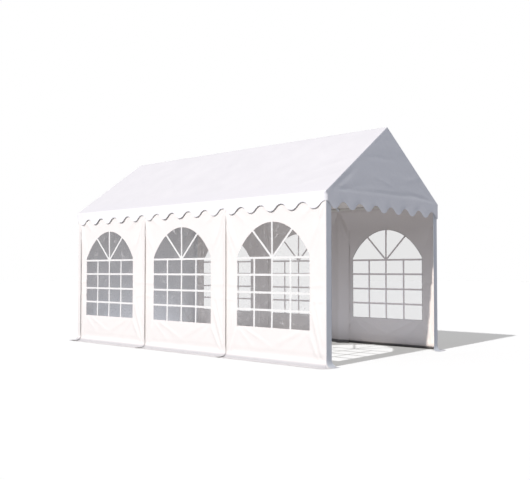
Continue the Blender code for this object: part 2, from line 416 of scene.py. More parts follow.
@dataclass
class ClothMesh:
    """Cloth under construction, as one mesh made of cuts that are welded where their edges meet."""

    name: str
    bm: bmesh.types.BMesh = field(default_factory=bmesh.new)
    area: float = 0.0

    def add(
        self, cut: Cut, placed: Array, seam: Array, shift: Point = (0.0, 0.0), flip: bool = False,
        finish: int = 0, soil: Array | None = None,
    ) -> None:
        """Adds one cut, hung in its place.

        Args:
            cut: The flat cut.
            placed: Where each of its points hangs.
            seam: How far each point is from the nearest seam or hem.
            shift: Where the cut lies in the flat layout.
            flip: Whether its faces turn the other way.
            finish: The number of the finish on it.
            soil: The share of the finish's second tone at each point, from 0 to 1, or None for none.
        """
        flat = self.bm.loops.layers.uv.verify()
        edge = self.bm.verts.layers.float.get("seam") or self.bm.verts.layers.float.new("seam")
        # This layer holds each point's share of painted light and shade.
        shading_layer = self.bm.verts.layers.float.get("soil") or self.bm.verts.layers.float.new("soil")
        self.area += cut.area()
        used = sorted({i for face in cut.faces for i in face})
        verts = {}
        for i in used:
            verts[i] = self.bm.verts.new(placed[i])
            verts[i][edge] = min(float(seam[i]), SEAM_FAR)
            verts[i][shading_layer] = 0.0 if soil is None else float(soil[i])
        for face in cut.faces:
            order = tuple(reversed(face)) if flip else face
            made = self.bm.faces.new([verts[i] for i in order])
            made.smooth = True
            made.material_index = finish
            for i, loop in zip(order, made.loops):
                loop[flat].uv = (cut.points[i][0] + shift[0], cut.points[i][1] + shift[1])

    def finished(
        self,
        finishes: Sequence[Finish],
        thickness: float = CLOTH_THICKNESS,
        weld: bool = False,
        lining: int = 0,
    ) -> Object:
        """Closes the mesh and gives it its thickness, inwards from the outer face.

        Args:
            finishes: The finishes that its faces count from 0.
            thickness: The cloth's thickness.
            weld: Whether the cuts' edges are welded to each other.
            lining: What is added to the number of the finish on the inner face.

        Returns:
            The finished piece.
        """
        bmesh.ops.join_triangles(
            self.bm, faces=self.bm.faces, cmp_materials=True,
            angle_face_threshold=JOIN_FLAT, angle_shape_threshold=JOIN_SQUARE,
        )
        if weld:
            bmesh.ops.remove_doubles(self.bm, verts=self.bm.verts, dist=WELD)
        mesh = bpy.data.meshes.new(self.name)
        self.bm.to_mesh(mesh)
        self.bm.free()
        obj = new_object(self.name, mesh)
        for finish in finishes:
            mesh.materials.append(finish.material())
        if weld:
            limits = {"limit_method": "ANGLE", "angle_limit": ROUNDED_FROM, "loop_slide": False}
            apply_modifier(obj, "BEVEL", width=COVER_EDGE, segments=2, **limits)
        apply_modifier(obj, "SOLIDIFY", thickness=thickness, offset=-1.0, material_offset=lining)
        activate(obj)
        bpy.ops.object.shade_smooth_by_angle(angle=SMOOTH_UP_TO)
        return obj


def declare(piece: Object, slot: str, *nodes: str) -> None:
    """Fixes a piece to the body and hides the CAD nodes that it replaces.

    Args:
        piece: The piece.
        slot: Not used.
        nodes: The nodes.
    """
    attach(piece, BODY)
    if nodes:
        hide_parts(*nodes)


def declare_sheet(piece: Object, flat: Point, held: str, rests_on: list[str], **more: object) -> None:
    """Logs a piece's name and its flat size."""
    log.info("%s: %.3f by %.3f m", piece.name, *flat)


def linear(hex_colour: str) -> tuple[float, float, float, float]:
    """An sRGB hex colour as linear red, green, blue and alpha.

    Args:
        hex_colour: A hash sign and six hex digits.

    Returns:
        The four channels, from 0 to 1.
    """
    channels = [int(hex_colour[i : i + 2], 16) / 255 for i in (1, 3, 5)]
    red, green, blue = ((c / 12.92) if c <= 0.04045 else ((c + 0.055) / 1.055) ** 2.4 for c in channels)
    return red, green, blue, 1.0


def add_node(
    tree: Tree, kind: str, values: Values | None = None, links: Links | None = None, **settings: object
) -> bpy.types.Node:
    """Adds a node.

    Args:
        tree: The node tree.
        kind: The node's type, without the word that all types begin with.
        values: Values of its input sockets.
        links: The sockets that feed its inputs.
        settings: Its own settings.

    Returns:
        The node.
    """
    node = tree.nodes.new(f"ShaderNode{kind}")
    for name, value in settings.items():
        setattr(node, name, value)
    for name, value in (values or {}).items():
        node.inputs[name].default_value = value
    for name, socket in (links or {}).items():
        tree.links.new(socket, node.inputs[name])
    return node


def new_material(name: str) -> tuple[Material, Tree, Socket]:
    """Starts a material.

    Args:
        name: Its name.

    Returns:
        The material, its node tree, and the coordinates in the object's own frame, from its only node.
    """
    made = bpy.data.materials.new(name)
    made.use_nodes = True
    tree = made.node_tree
    tree.nodes.clear()
    return made, tree, add_node(tree, "TexCoord").outputs["Object"]


def add_surface(tree: Tree, values: Values, links: Links) -> None:
    """Ends a material with its shader, which has these values and links."""
    shader = add_node(tree, "BsdfPrincipled", values, links)
    add_node(tree, "OutputMaterial", links={"Surface": shader.outputs[0]})


def drifting_tone(
    tree: Tree, place: Socket, tones: tuple[str, str], size_mm: float, **detail: float
) -> tuple[Socket, Socket]:
    """A colour that drifts between two tones over the surface.

    Args:
        tree: The node tree.
        place: The coordinates.
        tones: Both tones, as hex colours.
        size_mm: The size of its patches.
        detail: Further values of the noise that it follows.

    Returns:
        The noise, from 0 to 1, and the colour.
    """
    values = {"Scale": 1 / (size_mm * MM), **detail}
    drift = add_node(tree, "TexNoise", values, {"Vector": place}).outputs["Fac"]
    ends = dict(zip("AB", map(linear, tones)))
    return drift, add_node(tree, "Mix", ends, {"Factor": drift}, data_type="RGBA").outputs["Result"]


def near_value(tree: Tree, source: Socket, value: float, reach: float, results: Point) -> Socket:
    """A number that changes where another number comes near a value.

    Args:
        tree: The node tree.
        source: The other number.
        value: The value that it comes near.
        reach: How far from that value the change ends.
        results: The number at that value and beyond reach of it.

    Returns:
        The number.
    """
    off = add_node(tree, "Math", {1: value}, {0: source}, operation="SUBTRACT").outputs[0]
    away = add_node(tree, "Math", {}, {0: off}, operation="ABSOLUTE").outputs[0]
    ends = {"From Min": 0.0, "From Max": reach, "To Min": results[0], "To Max": results[1]}
    return add_node(tree, "MapRange", ends, {"Value": away}).outputs[0]


def stack_bumps(tree: Tree, layers: Iterable[tuple[Socket, float]]) -> Socket:
    """Lays bumps over each other.

    Args:
        tree: The node tree.
        layers: The height of each layer and its depth in millimetres, below 0 where it is pressed in.

    Returns:
        The bent normal.
    """
    under: Links = {}
    for height, depth_mm in layers:
        values = {"Distance": abs(depth_mm * MM), "Strength": 1.0}
        bump = add_node(tree, "Bump", values, {"Height": height, **under}, invert=depth_mm < 0)
        under = {"Normal": bump.outputs["Normal"]}
    return under["Normal"]


@dataclass(frozen=True)
class CoatedCloth:
    """Woven polyester with a soft PVC coat on both faces.

    The coat hides most of the weave and gives a satin white with a faint grid and fine creases from storage.
    """

    name: str
    light: str
    dark: str
    # The second tone is painted light and shade: it is mixed in where a piece asks for it, as shade at the
    # walls' feet and as light along the roof's inner eaves.
    second: str = "#c4c3c5"
    thread: str = "#8f8c90"
    roughness: Point = (0.47, 0.58)
    specular: float = 0.35
    mottle_mm: float = 420.0
    crease_mm: float = 130.0
    crease_depth_mm: float = 2.2
    fine_mm: float = 34.0
    fine_depth_mm: float = 0.25
    # The real threads are 1 mm apart. They are drawn 6 mm apart, as anything finer is lost in the picture.
    weave_mm: float = 6.0
    weave_depth_mm: float = 0.03
    stitch_mm: float = 9.0
    stitch_width_mm: float = 2.0
    stitch_depth_mm: float = -0.2
    stitch_shade: float = 0.07

    def material(self) -> Material:
        """Makes the material.

        Returns:
            The finished material.
        """
        made, tree, place = new_material(self.name)
        tones = (self.light, self.dark)
        drift, tone = drifting_tone(tree, place, tones, self.mottle_mm, Detail=3.0, Roughness=0.55)
        seam = add_node(tree, "Attribute", attribute_name="seam").outputs["Fac"]
        stitch = near_value(tree, seam, self.stitch_mm * MM, self.stitch_width_mm * MM, (1.0, 0.0))
        ends = dict(zip(("To Min", "To Max"), self.roughness))
        links = {
            "Base Color": self.toned(tree, tone, stitch),
            "Roughness": add_node(tree, "MapRange", ends, {"Value": drift}).outputs[0],
            "Normal": self.relief(tree, place, stitch),
        }
        add_surface(tree, {"Specular IOR Level": self.specular}, links)
        return made

    def toned(self, tree: Tree, tone: Socket, stitch: Socket) -> Socket:
        """The cloth's tone, a little darker on the stitches, and mixed towards the second tone, which is
        painted light and shade, where the piece asks for it.

        Args:
            tree: The node tree.
            tone: The cloth's tone.
            stitch: 1 on the line of stitches and 0 elsewhere.

        Returns:
            The colour.
        """
        shade = add_node(tree, "Math", {1: self.stitch_shade}, {0: stitch}, operation="MULTIPLY").outputs[0]
        soil = add_node(tree, "Attribute", attribute_name="soil").outputs["Fac"]
        for amount, colour in ((shade, self.thread), (soil, self.second)):
            links = {"Factor": amount, "A": tone}
            tone = add_node(tree, "Mix", {"B": linear(colour)}, links, data_type="RGBA").outputs["Result"]
        return tone

    def relief(self, tree: Tree, place: Socket, stitch: Socket) -> Socket:
        """The bumps: storage creases, fine crumple, the weave's grid and the pressed seam line.

        Args:
            tree: The node tree.
            place: The coordinates in the object's own frame.
            stitch: 1 on the line of stitches and 0 elsewhere.

        Returns:
            The bent normal.
        """
        flat = add_node(tree, "UVMap").outputs["UV"]
        creased = {"Scale": 1 / (self.crease_mm * MM), "Detail": 4.0, "Roughness": 0.5, "Distortion": 0.6}
        crease = add_node(tree, "TexNoise", creased, {"Vector": place}).outputs["Fac"]
        crumpled = {"Scale": 1 / (self.fine_mm * MM), "Detail": 3.0}
        fine = add_node(tree, "TexNoise", crumpled, {"Vector": place}).outputs["Fac"]
        woven = {"Scale": 1 / (self.weave_mm * MM), "Randomness": 0.0}
        weave = add_node(tree, "TexVoronoi", woven, {"Vector": flat}, distance="CHEBYCHEV")
        heights = (crease, fine, weave.outputs["Distance"], stitch)
        depths = (self.crease_depth_mm, self.fine_depth_mm, self.weave_depth_mm, self.stitch_depth_mm)
        return stack_bumps(tree, zip(heights, depths))


@dataclass(frozen=True)
class SoftFilm:
    """Clear PVC film, calendered and soft.

    It is see-through with a faint milky haze, smooth enough for soft highlights, with long shallow creases.
    """

    name: str
    haze: str
    streak: str
    alpha: float
    crease_alpha: float
    roughness: float = 0.16
    refraction: float = 1.52
    specular: float = 0.2
    crease_mm: float = 240.0
    crease_depth_mm: float = 0.9
    crease_middle: float = 0.5
    crease_reach: float = 0.009

    def material(self) -> Material:
        """Makes the material.

        Returns:
            The finished material.
        """
        made, tree, place = new_material(self.name)
        tones = (self.haze, self.streak)
        streaks, tone = drifting_tone(tree, place, tones, self.crease_mm, Detail=5.0, Distortion=1.4)
        alphas = (self.alpha + self.crease_alpha, self.alpha)
        values = {"Roughness": self.roughness, "IOR": self.refraction, "Specular IOR Level": self.specular}
        links = {
            "Base Color": tone,
            "Normal": stack_bumps(tree, [(streaks, self.crease_depth_mm)]),
            "Alpha": near_value(tree, streaks, self.crease_middle, self.crease_reach, alphas),
        }
        add_surface(tree, values, links)
        return made


@dataclass(frozen=True)
class PowderCoat:
    """Steel tube with a baked powder coat, satin with a slight orange peel."""

    name: str
    light: str
    dark: str
    roughness: Point = (0.30, 0.48)
    peel_mm: float = 7.0
    peel_depth_mm: float = 0.06
    mottle_mm: float = 160.0

    def material(self) -> Material:
        """Makes the material.

        Returns:
            The finished material.
        """
        made, tree, place = new_material(self.name)
        drift, tone = drifting_tone(tree, place, (self.light, self.dark), self.mottle_mm, Detail=4.0)
        grain = {"Scale": 1 / (self.peel_mm * MM), "Detail": 2.0}
        peel = add_node(tree, "TexNoise", grain, {"Vector": place}).outputs["Fac"]
        ends = dict(zip(("To Min", "To Max"), self.roughness))
        links = {
            "Base Color": tone,
            "Roughness": add_node(tree, "MapRange", ends, {"Value": drift}).outputs[0],
            "Normal": stack_bumps(tree, [(peel, self.peel_depth_mm)]),
        }
        add_surface(tree, {}, links)
        return made


SLOPE_WRINKLES = (
    Wrinkles(1.7, (0.34, 0.9), 38, 3.1),
    Wrinkles(0.9, (0.22, 0.7), -32, 8.7, sharp=True),
    Wrinkles(0.5, (0.13, 0.3), 30, 5.5),
    Wrinkles(0.4, (0.09, 0.18), 30, 2.2, sharp=True),
)
SLOPE_FOLDS = (
    Fold((0.20, 1.50), (-0.02, 0.25), 4.5, (0.05, 0.08), bow=-0.05),
    Fold((-1.78, 1.80), (-2.45, 0.95), 3.0, (0.04, 0.09), bow=0.03),
    Fold((-3.0, 0.97), (-2.2, 0.62), 3.2, (0.03, 0.07)),
    Fold((-2.95, 0.50), (-2.1, 0.20), 3.0, (0.03, 0.07)),
    Fold((2.95, 1.35), (2.5, 0.9), 3.5, (0.04, 0.08)),
    Fold((1.05, 0.9), (0.45, 0.3), 2.5, (0.04, 0.08), bow=0.03),
    Fold((2.3, 1.2), (1.6, 0.55), 2.0, (0.05, 0.09)),
)
GABLE_FOLDS = (
    Fold((-1.40, 2.455), (1.55, 2.480), -4.6, (0.016, 0.026), bow=0.020, lean=-0.3),
    Fold((1.42, 2.435), (0.30, 2.530), -5.2, (0.016, 0.032), bow=-0.02),
    Fold((-0.60, 2.985), (0.45, 3.000), -2.4, (0.022, 0.030), bow=0.012),
    Fold((-0.40, 2.715), (0.32, 2.560), 3.0, (0.024, 0.035), bow=0.010),
    Fold((0.95, 2.800), (0.35, 2.700), 2.6, (0.022, 0.040)),
    Fold((-1.36, 2.450), (-0.70, 2.880), -4.0, (0.030, 0.060), bow=-0.015),
    Fold((-1.30, 2.440), (-0.50, 2.560), -3.0, (0.020, 0.050), bow=0.010),
    Fold((1.34, 2.470), (0.80, 2.760), -3.0, (0.024, 0.060), bow=0.015),
    Fold((-0.15, 3.350), (0.18, 3.080), 2.0, (0.020, 0.060)),
)


@dataclass
class RoofCover:
    """The roof cover: two slopes, two gables and a scalloped valance all round, sewn into one sheet."""

    sizes: TentSizes
    # The outer faces of the slopes and of the edges, then their inner faces, which carry painted shade.
    finishes: tuple[CoatedCloth, CoatedCloth, CoatedCloth, CoatedCloth]
    across: float = 0.025
    up_slope: float = 0.032
    corner_fine: float = 0.008
    corner_reach: float = 0.056
    valance_rows: int = 8
    corner_round: float = 0.012
    loose_corner_round: float = 0.052
    corner_drop: float = 0.045
    side_stand: float = 10.0 * MM
    end_stand: float = -1.0 * MM
    lobe_round: float = 0.95
    lobe_shift: float = 0.014
    lobe_shift_reach: float = 0.25
    lobe_curl: float = 2.0 * MM
    sag: float = 0.010
    sag_reach: Point = (0.01, 0.95)
    eave_hold: float = 0.12
    ridge_hold: float = 0.08
    gable_hold: float = 0.1
    rake_hold: float = 0.05
    foot_hold: float = 0.02
    valance_hold: float = 0.12
    valance_depth: float = 0.19
    valance_soft: float = 4.0 * MM
    valance_fine: float = 1.0 * MM
    valance_swing: float = 1.4
    # The cover's cuts lie this far apart in the flat layout.
    gable_layout: float = 8.0
    valance_layout: Point = (4.0, 20.0)
    eave_band: Point = (0.24, 0.30)
    fold_strength: float = 1.9
    # The right slope's wrinkles are read this far off in the pattern, so that the slopes differ.
    right_shift: float = 3.0
    # The points inside a gable keep this share of a step from its edges.
    gable_inset: float = 0.55
    name: str = "roof_cover"

    def build(self) -> Object:
        """Returns:
            The finished piece.
        """
        s = self.sizes
        cloth = ClothMesh(self.name)
        self.add_slopes(cloth)
        for end in End:
            self.add_gable(cloth, end)
        for side in (*Side, *End):
            self.add_valance(cloth, side)
        cover = cloth.finished(self.finishes, weld=True, lining=len(self.finishes) // 2)
        nodes = [f"{kind}_{side.name.lower()}" for kind in ("roof_slope", "valance") for side in Side]
        declare(cover, "cover_fabric", *nodes, *[f"gable_{end.name.lower()}" for end in End])
        rise, drop = s.ridge - s.eave, s.valance + s.scallop
        flat = (2 * (math.hypot(s.cover_x, rise) + drop), 2 * (s.cover_y + rise + drop))
        rafters = [f"rafter_{side.name.lower()}_{i + 1}" for side in Side for i in range(len(s.frames))]
        declare_sheet(cover, flat, "stretched", rafters, area=cloth.area)
        return cover

    def places(self, half: float) -> list[float]:
        """Places of the columns along a side of this half length."""
        return graded(-half, half, self.across, self.corner_fine, self.corner_reach)

    def slope_places(self) -> list[float]:
        """Places of the slopes' rows across the tent, from the left eave over the ridge to the right eave."""
        half = steps(-self.sizes.cover_x, 0.0, self.up_slope * math.cos(self.sizes.pitch))
        return half + [-x for x in reversed(half[:-1])]

    def add_slopes(self, cloth: ClothMesh) -> None:
        """Adds both slopes, from eave to eave.

        Args:
            cloth: The cover.
        """
        s = self.sizes
        xs, ys = self.slope_places(), self.places(s.cover_y)
        cos = math.cos(s.pitch)
        flat = np.array([(x / cos, y) for x in xs for y in ys])
        cut = Cut(flat, grid_faces(len(xs), len(ys)))
        x, y = flat[:, 0] * cos, flat[:, 1]
        lift = self.slope_lift(x, y)
        z = s.ridge - np.abs(x) * math.tan(s.pitch)
        placed = np.stack([x + lift * (np.sign(x) * math.sin(s.pitch)), y, z + lift * cos], axis=1)
        eave = (s.cover_x - np.abs(x)) / cos
        seam = np.minimum(eave, s.cover_y - np.abs(y))
        # A band along the eaves takes the second tone: painted light on the inner face, a little darker on
        # the outer face.
        cloth.add(cut, placed, seam, soil=1.0 - smooth(*self.eave_band, eave))

    def slope_lift(self, x: Array, y: Array) -> Array:
        """How far the slopes stand out from their planes: sag between the frames, wrinkles and a few folds.

        Args:
            x: Places across the tent.
            y: Places along it.

        Returns:
            The lift at each point, square to the slope.
        """
        s = self.sizes
        slope = s.cover_x / math.cos(s.pitch)
        up = (s.cover_x - np.abs(x)) / math.cos(s.pitch)
        side = np.where(x < 0, 1.0, -1.0)
        at_frame = np.ones_like(y)
        for place in s.frames:
            at_frame = np.minimum(at_frame, smooth(*self.sag_reach, np.abs(y - place)))
        lift = -self.sag * at_frame * np.sin(np.pi * np.clip(up / slope, 0, 1))
        fade = smooth(0.0, self.eave_hold, up) * smooth(0.0, self.ridge_hold, slope - up)
        fade *= smooth(0.0, self.gable_hold, s.cover_y - np.abs(y))
        wrinkles = lifts(SLOPE_WRINKLES, y, up + self.right_shift * (side < 0))
        return lift + fade * (wrinkles + self.fold_strength * lifts(SLOPE_FOLDS, y * side, up))

    def add_gable(self, cloth: ClothMesh, end: End) -> None:
        """Adds one gable's triangle, above the level of the eaves.

        Args:
            cloth: The cover.
            end: Which gable it is.
        """
        s = self.sizes

        def rake(x: Array | float) -> Array | float:
            """The height of the gable's slanting edge."""
            return s.ridge - abs(x) * math.tan(s.pitch)

        rakes = [(x, rake(x)) for x in self.slope_places()]
        foot = [(x, s.eave) for x in reversed(self.places(s.cover_x))]
        inset = self.gable_inset * self.across
        fill = [
            (x, z)
            for x in steps(-s.cover_x, s.cover_x, self.across)
            for z in steps(s.eave, s.ridge, self.across)
            if s.eave + inset < z < rake(x) - inset
        ]
        cut = cut_cloth([rakes + foot[1:-1]], fill, lambda x, z: s.eave + SLIVER < z < rake(x) - SLIVER)
        x, z = cut.points[:, 0], cut.points[:, 1]
        to_rake = (rake(x) - z) * math.cos(s.pitch)
        lift = smooth(0.0, self.rake_hold, to_rake) * smooth(0.0, self.foot_hold, z - s.eave)
        lift *= self.gable_lift(x, z, end)
        placed = np.stack([x, end.value * (s.cover_y + lift), z], axis=1)
        edge = np.minimum(to_rake, z - s.eave)
        shift = (0.0, end.value * self.gable_layout)
        cloth.add(cut, placed, edge, shift, flip=end is End.REAR, finish=1)

    def gable_lift(self, x: Array, z: Array, end: End) -> Array:
        """How far a gable stands out: a valley over the bar at its foot and soft folds that lie across it.

        Args:
            x: Places across the tent.
            z: Heights.
            end: Which gable it is.

        Returns:
            The lift at each point.
        """
        seed = 2.0 if end is End.FRONT else 7.0
        wrinkles = (
            Wrinkles(1.3, (0.85, 0.14), 4, seed),
            Wrinkles(0.7, (0.6, 0.10), -8, seed + 3, sharp=True),
            Wrinkles(0.35, (0.16, 0.07), 12, seed + 5),
        )
        return lifts(GABLE_FOLDS, -end.value * x, z) + lifts(wrinkles, x, z)

    def add_valance(self, cloth: ClothMesh, side: Side | End) -> None:
        """Adds one side of the scalloped valance.

        Args:
            cloth: The cover.
            side: The long side or gable that it hangs from.
        """
        s = self.sizes
        sign, long_side = side.value, isinstance(side, Side)
        half, plane = (s.cover_y, s.cover_x) if long_side else (s.cover_x, s.cover_y)
        places = np.array(self.places(half))
        waves = s.side_waves if long_side else s.end_waves
        first = s.end_waves if long_side and sign > 0 else 0.0
        shifted = places
        if long_side:
            shifted = places - self.lobe_shift * smooth(0.0, self.lobe_shift_reach, half - np.abs(places))
        phase = first + waves * (shifted + half) / (2 * half)
        wave = np.tanh(self.lobe_round * np.cos(2 * math.pi * phase)) / math.tanh(self.lobe_round)
        bottom = s.eave - s.valance + s.scallop * wave
        columns = self.valance_rows + 1
        share = np.arange(columns) / self.valance_rows
        z = s.eave - np.outer(s.eave - bottom, share)
        drop = s.eave - z
        place = np.repeat(places[:, None], columns, axis=1)
        lift = self.valance_lift(place, share[None, :] * np.ones_like(z), phase[:, None], side)
        radius = np.full_like(place, self.corner_round)
        if sign < 0:
            radius[places < 0] = self.loose_corner_round
        along, out = self.rounded(place, half, radius * smooth(0.0, self.corner_drop, drop))
        face_out = sign * (plane + out + lift)
        xyz = (face_out, along, z) if long_side else (along, face_out, z)
        placed = np.stack([part.ravel() for part in xyz], axis=1)
        flat = np.stack([place.ravel(), -drop.ravel()], axis=1)
        cut = Cut(flat, grid_faces(len(places), columns, turned=True))
        seam = np.minimum(drop, z - bottom[:, None]).ravel()
        aside, away = self.valance_layout
        shift = (sign * aside if long_side else 2 * aside, away)
        cloth.add(cut, placed, seam, shift, flip=(sign < 0) == long_side, finish=1)

    def rounded(self, place: Array, half: float, radius: Array) -> tuple[Array, Array]:
        """Rounds the upright corners of the valance.

        Args:
            place: Where each point is along its side.
            half: Half the side's length.
            radius: The corner's radius at each point.

        Returns:
            The place along the side, and how far the point moves inwards from the side's plane, below 0.
        """
        to_corner = half - np.abs(place)
        share = np.clip(to_corner / np.maximum(radius, 1e-9), 0.0, 1.0)
        turn = math.pi / 4 * (1.0 - share)
        inside = to_corner < radius
        along = np.where(inside, half - radius + radius * np.sin(turn), np.abs(place))
        out = np.where(inside, radius * (np.cos(turn) - 1.0), 0.0)
        return np.sign(place) * along, out

    def valance_lift(self, place: Array, share: Array, phase: Array, side: Side | End) -> Array:
        """How far the valance hangs out of its plane: more towards its edge, with each lobe curled a little.

        Args:
            place: Where each point is along its side.
            share: Its share of the way down, from 0 to 1.
            phase: The number of waves up to each column.
            side: The side that it hangs from.

        Returns:
            The lift at each point.
        """
        long_side = isinstance(side, Side)
        seed = 11.0 + 3.0 * side.value + (5.0 if long_side else 0.0)
        half = self.sizes.cover_y if long_side else self.sizes.cover_x
        flat_place, flat_share = place.ravel(), share.ravel()
        soft = ripple(flat_place, flat_share, (0.5, 2.5), 0, seed).reshape(place.shape)
        down = flat_share * self.valance_depth
        fine = ripple(flat_place, down, (0.12, 0.09), 20, seed + 1).reshape(place.shape)
        lobes = -np.cos(2 * math.pi * phase) * self.lobe_curl
        stand = self.side_stand if long_side else self.end_stand
        swing = share**self.valance_swing * (self.valance_soft * soft + lobes + stand)
        hold = smooth(0.0, self.valance_hold, half - np.abs(place))
        return hold * (swing + smooth(0, 0.2, share) * self.valance_fine * fine)


@dataclass(frozen=True)
class Window:
    """An arched window: an upright rectangle under part of a tall ellipse, with flat bars."""

    half_width: float = 0.71
    foot: float = 0.49
    top: float = 2.033
    arch_half_width: float = 0.894
    arch_half_height: float = 1.239
    margin: float = 0.010
    bar: float = 0.031
    rails: tuple[float, ...] = (1.51, 1.26, 1.0, 0.745)
    uprights: tuple[float, ...] = (-0.355, 0.0, 0.355)
    fan: tuple[Point, ...] = ((-0.60, 2.14), (0.0, 2.2), (0.60, 2.14))

    def height(self, across: float, margin: float = 0.0) -> float:
        """The arch's height at a place across, for the outline grown by the margin."""
        wide, tall = self.arch_half_width + margin, self.arch_half_height + margin
        return self.top - self.arch_half_height + tall * math.sqrt(1 - (across / wide) ** 2)

    def outline(self, margin: float, size: float) -> list[Point]:
        """The outline as a closed line.

        Args:
            margin: How far it is grown.
            size: The distance between its points.

        Returns:
            Its points, counterclockwise from the lower left corner.
        """
        half = self.half_width + margin
        foot = self.foot - margin
        count = round(2.6 * half / size)
        arch = []
        for i in range(count + 1):
            across = half * math.cos(math.pi * i / count)
            arch.append((across, self.height(across, margin)))
        line = [(-half, foot), (half, foot), *arch, (-half, foot)]
        return along_line(line, size)[:-1]

    def inside(self, across: float, up: float, margin: float = 0.0) -> bool:
        """Whether a point lies inside the outline grown by the margin."""
        half = self.half_width + margin
        return abs(across) < half and self.foot - margin < up < self.height(across, margin)

    def strips(self) -> list[tuple[Point, Point]]:
        """Finds where the bars run.

        Returns:
            The ends of the middle line of each bar.
        """
        spring = self.rails[0]
        lines = [((-self.half_width, z), (self.half_width, z)) for z in self.rails]
        lines += [((x, self.foot), (x, spring)) for x in self.uprights]
        lines += [((0.0, spring), end) for end in self.fan]
        return lines


@dataclass(frozen=True)
class WallPath:
    """A wall panel's line in plan. It runs counterclockwise seen from above, with rounded corners."""

    corners: tuple[Point, ...]
    radius: float

    def parts(self) -> list[tuple[float, float, Vector, Vector, float]]:
        """Divides the path into its straight parts and the arcs between them.

        Returns:
            The start, length, first point, first outward direction and turn of each part, in order.
        """
        points = [Vector(c) for c in self.corners]
        found = []
        at = 0.0
        for i, (a, b) in enumerate(zip(points, points[1:])):
            along = (b - a).normalized()
            out = Vector((along.y, -along.x))
            first = a + along * self.radius if i else a
            last = b - along * self.radius if i < len(points) - 2 else b
            length = (last - first).length
            found.append((at, length, first, out, 0.0))
            at += length
            if i < len(points) - 2:
                arc = self.radius * math.pi / 2
                found.append((at, arc, last - out * self.radius, out, math.pi / 2))
                at += arc
        return found

    def length(self) -> float:
        """Its length."""
        start, length = self.parts()[-1][:2]
        return start + length

    def at(self, places: Array) -> tuple[Array, Array]:
        """Points of the path.

        Args:
            places: Distances along it.

        Returns:
            The points and the outward directions, both in plan.
        """
        points = np.zeros((len(places), 2))
        outs = np.zeros((len(places), 2))
        for start, length, first, out, turn in self.parts():
            here = (places >= start) | (start == 0.0)
            step = places[here] - start
            if turn:
                angle = step / length * turn
                turned = np.outer(np.cos(angle), out) + np.outer(np.sin(angle), (-out.y, out.x))
                points[here] = np.array(first) + turned * self.radius
                outs[here] = turned
            else:
                points[here] = np.array(first) + np.outer(step, (-out.y, out.x))
                outs[here] = out
        return points, outs

    def columns(self, size: float, edge: float) -> list[float]:
        """Places of the cloth's columns, closer together in the corners and at the ends.

        Args:
            size: How far apart they lie elsewhere.
            edge: How far the first two lie from each end.

        Returns:
            Their distances along the path.
        """
        places: list[float] = []
        for start, length, _, _, turn in self.parts():
            step = self.radius * math.pi / 12 if turn else size
            places += steps(start, start + length, step)[1 if places else 0 :]
        ends = [edge, 2 * edge, self.length() - edge, self.length() - 2 * edge]
        for place in ends:
            if min(abs(place - other) for other in places) > edge / 2:
                places.append(place)
        return sorted(places)


@dataclass(frozen=True)
class WallCloths:
    """The finishes of a wall's parts."""

    outer: CoatedCloth
    inner: CoatedCloth
    rear: CoatedCloth
    corner: CoatedCloth
    foot: CoatedCloth
    strip: dict[Side, CoatedCloth]
    eave: CoatedCloth


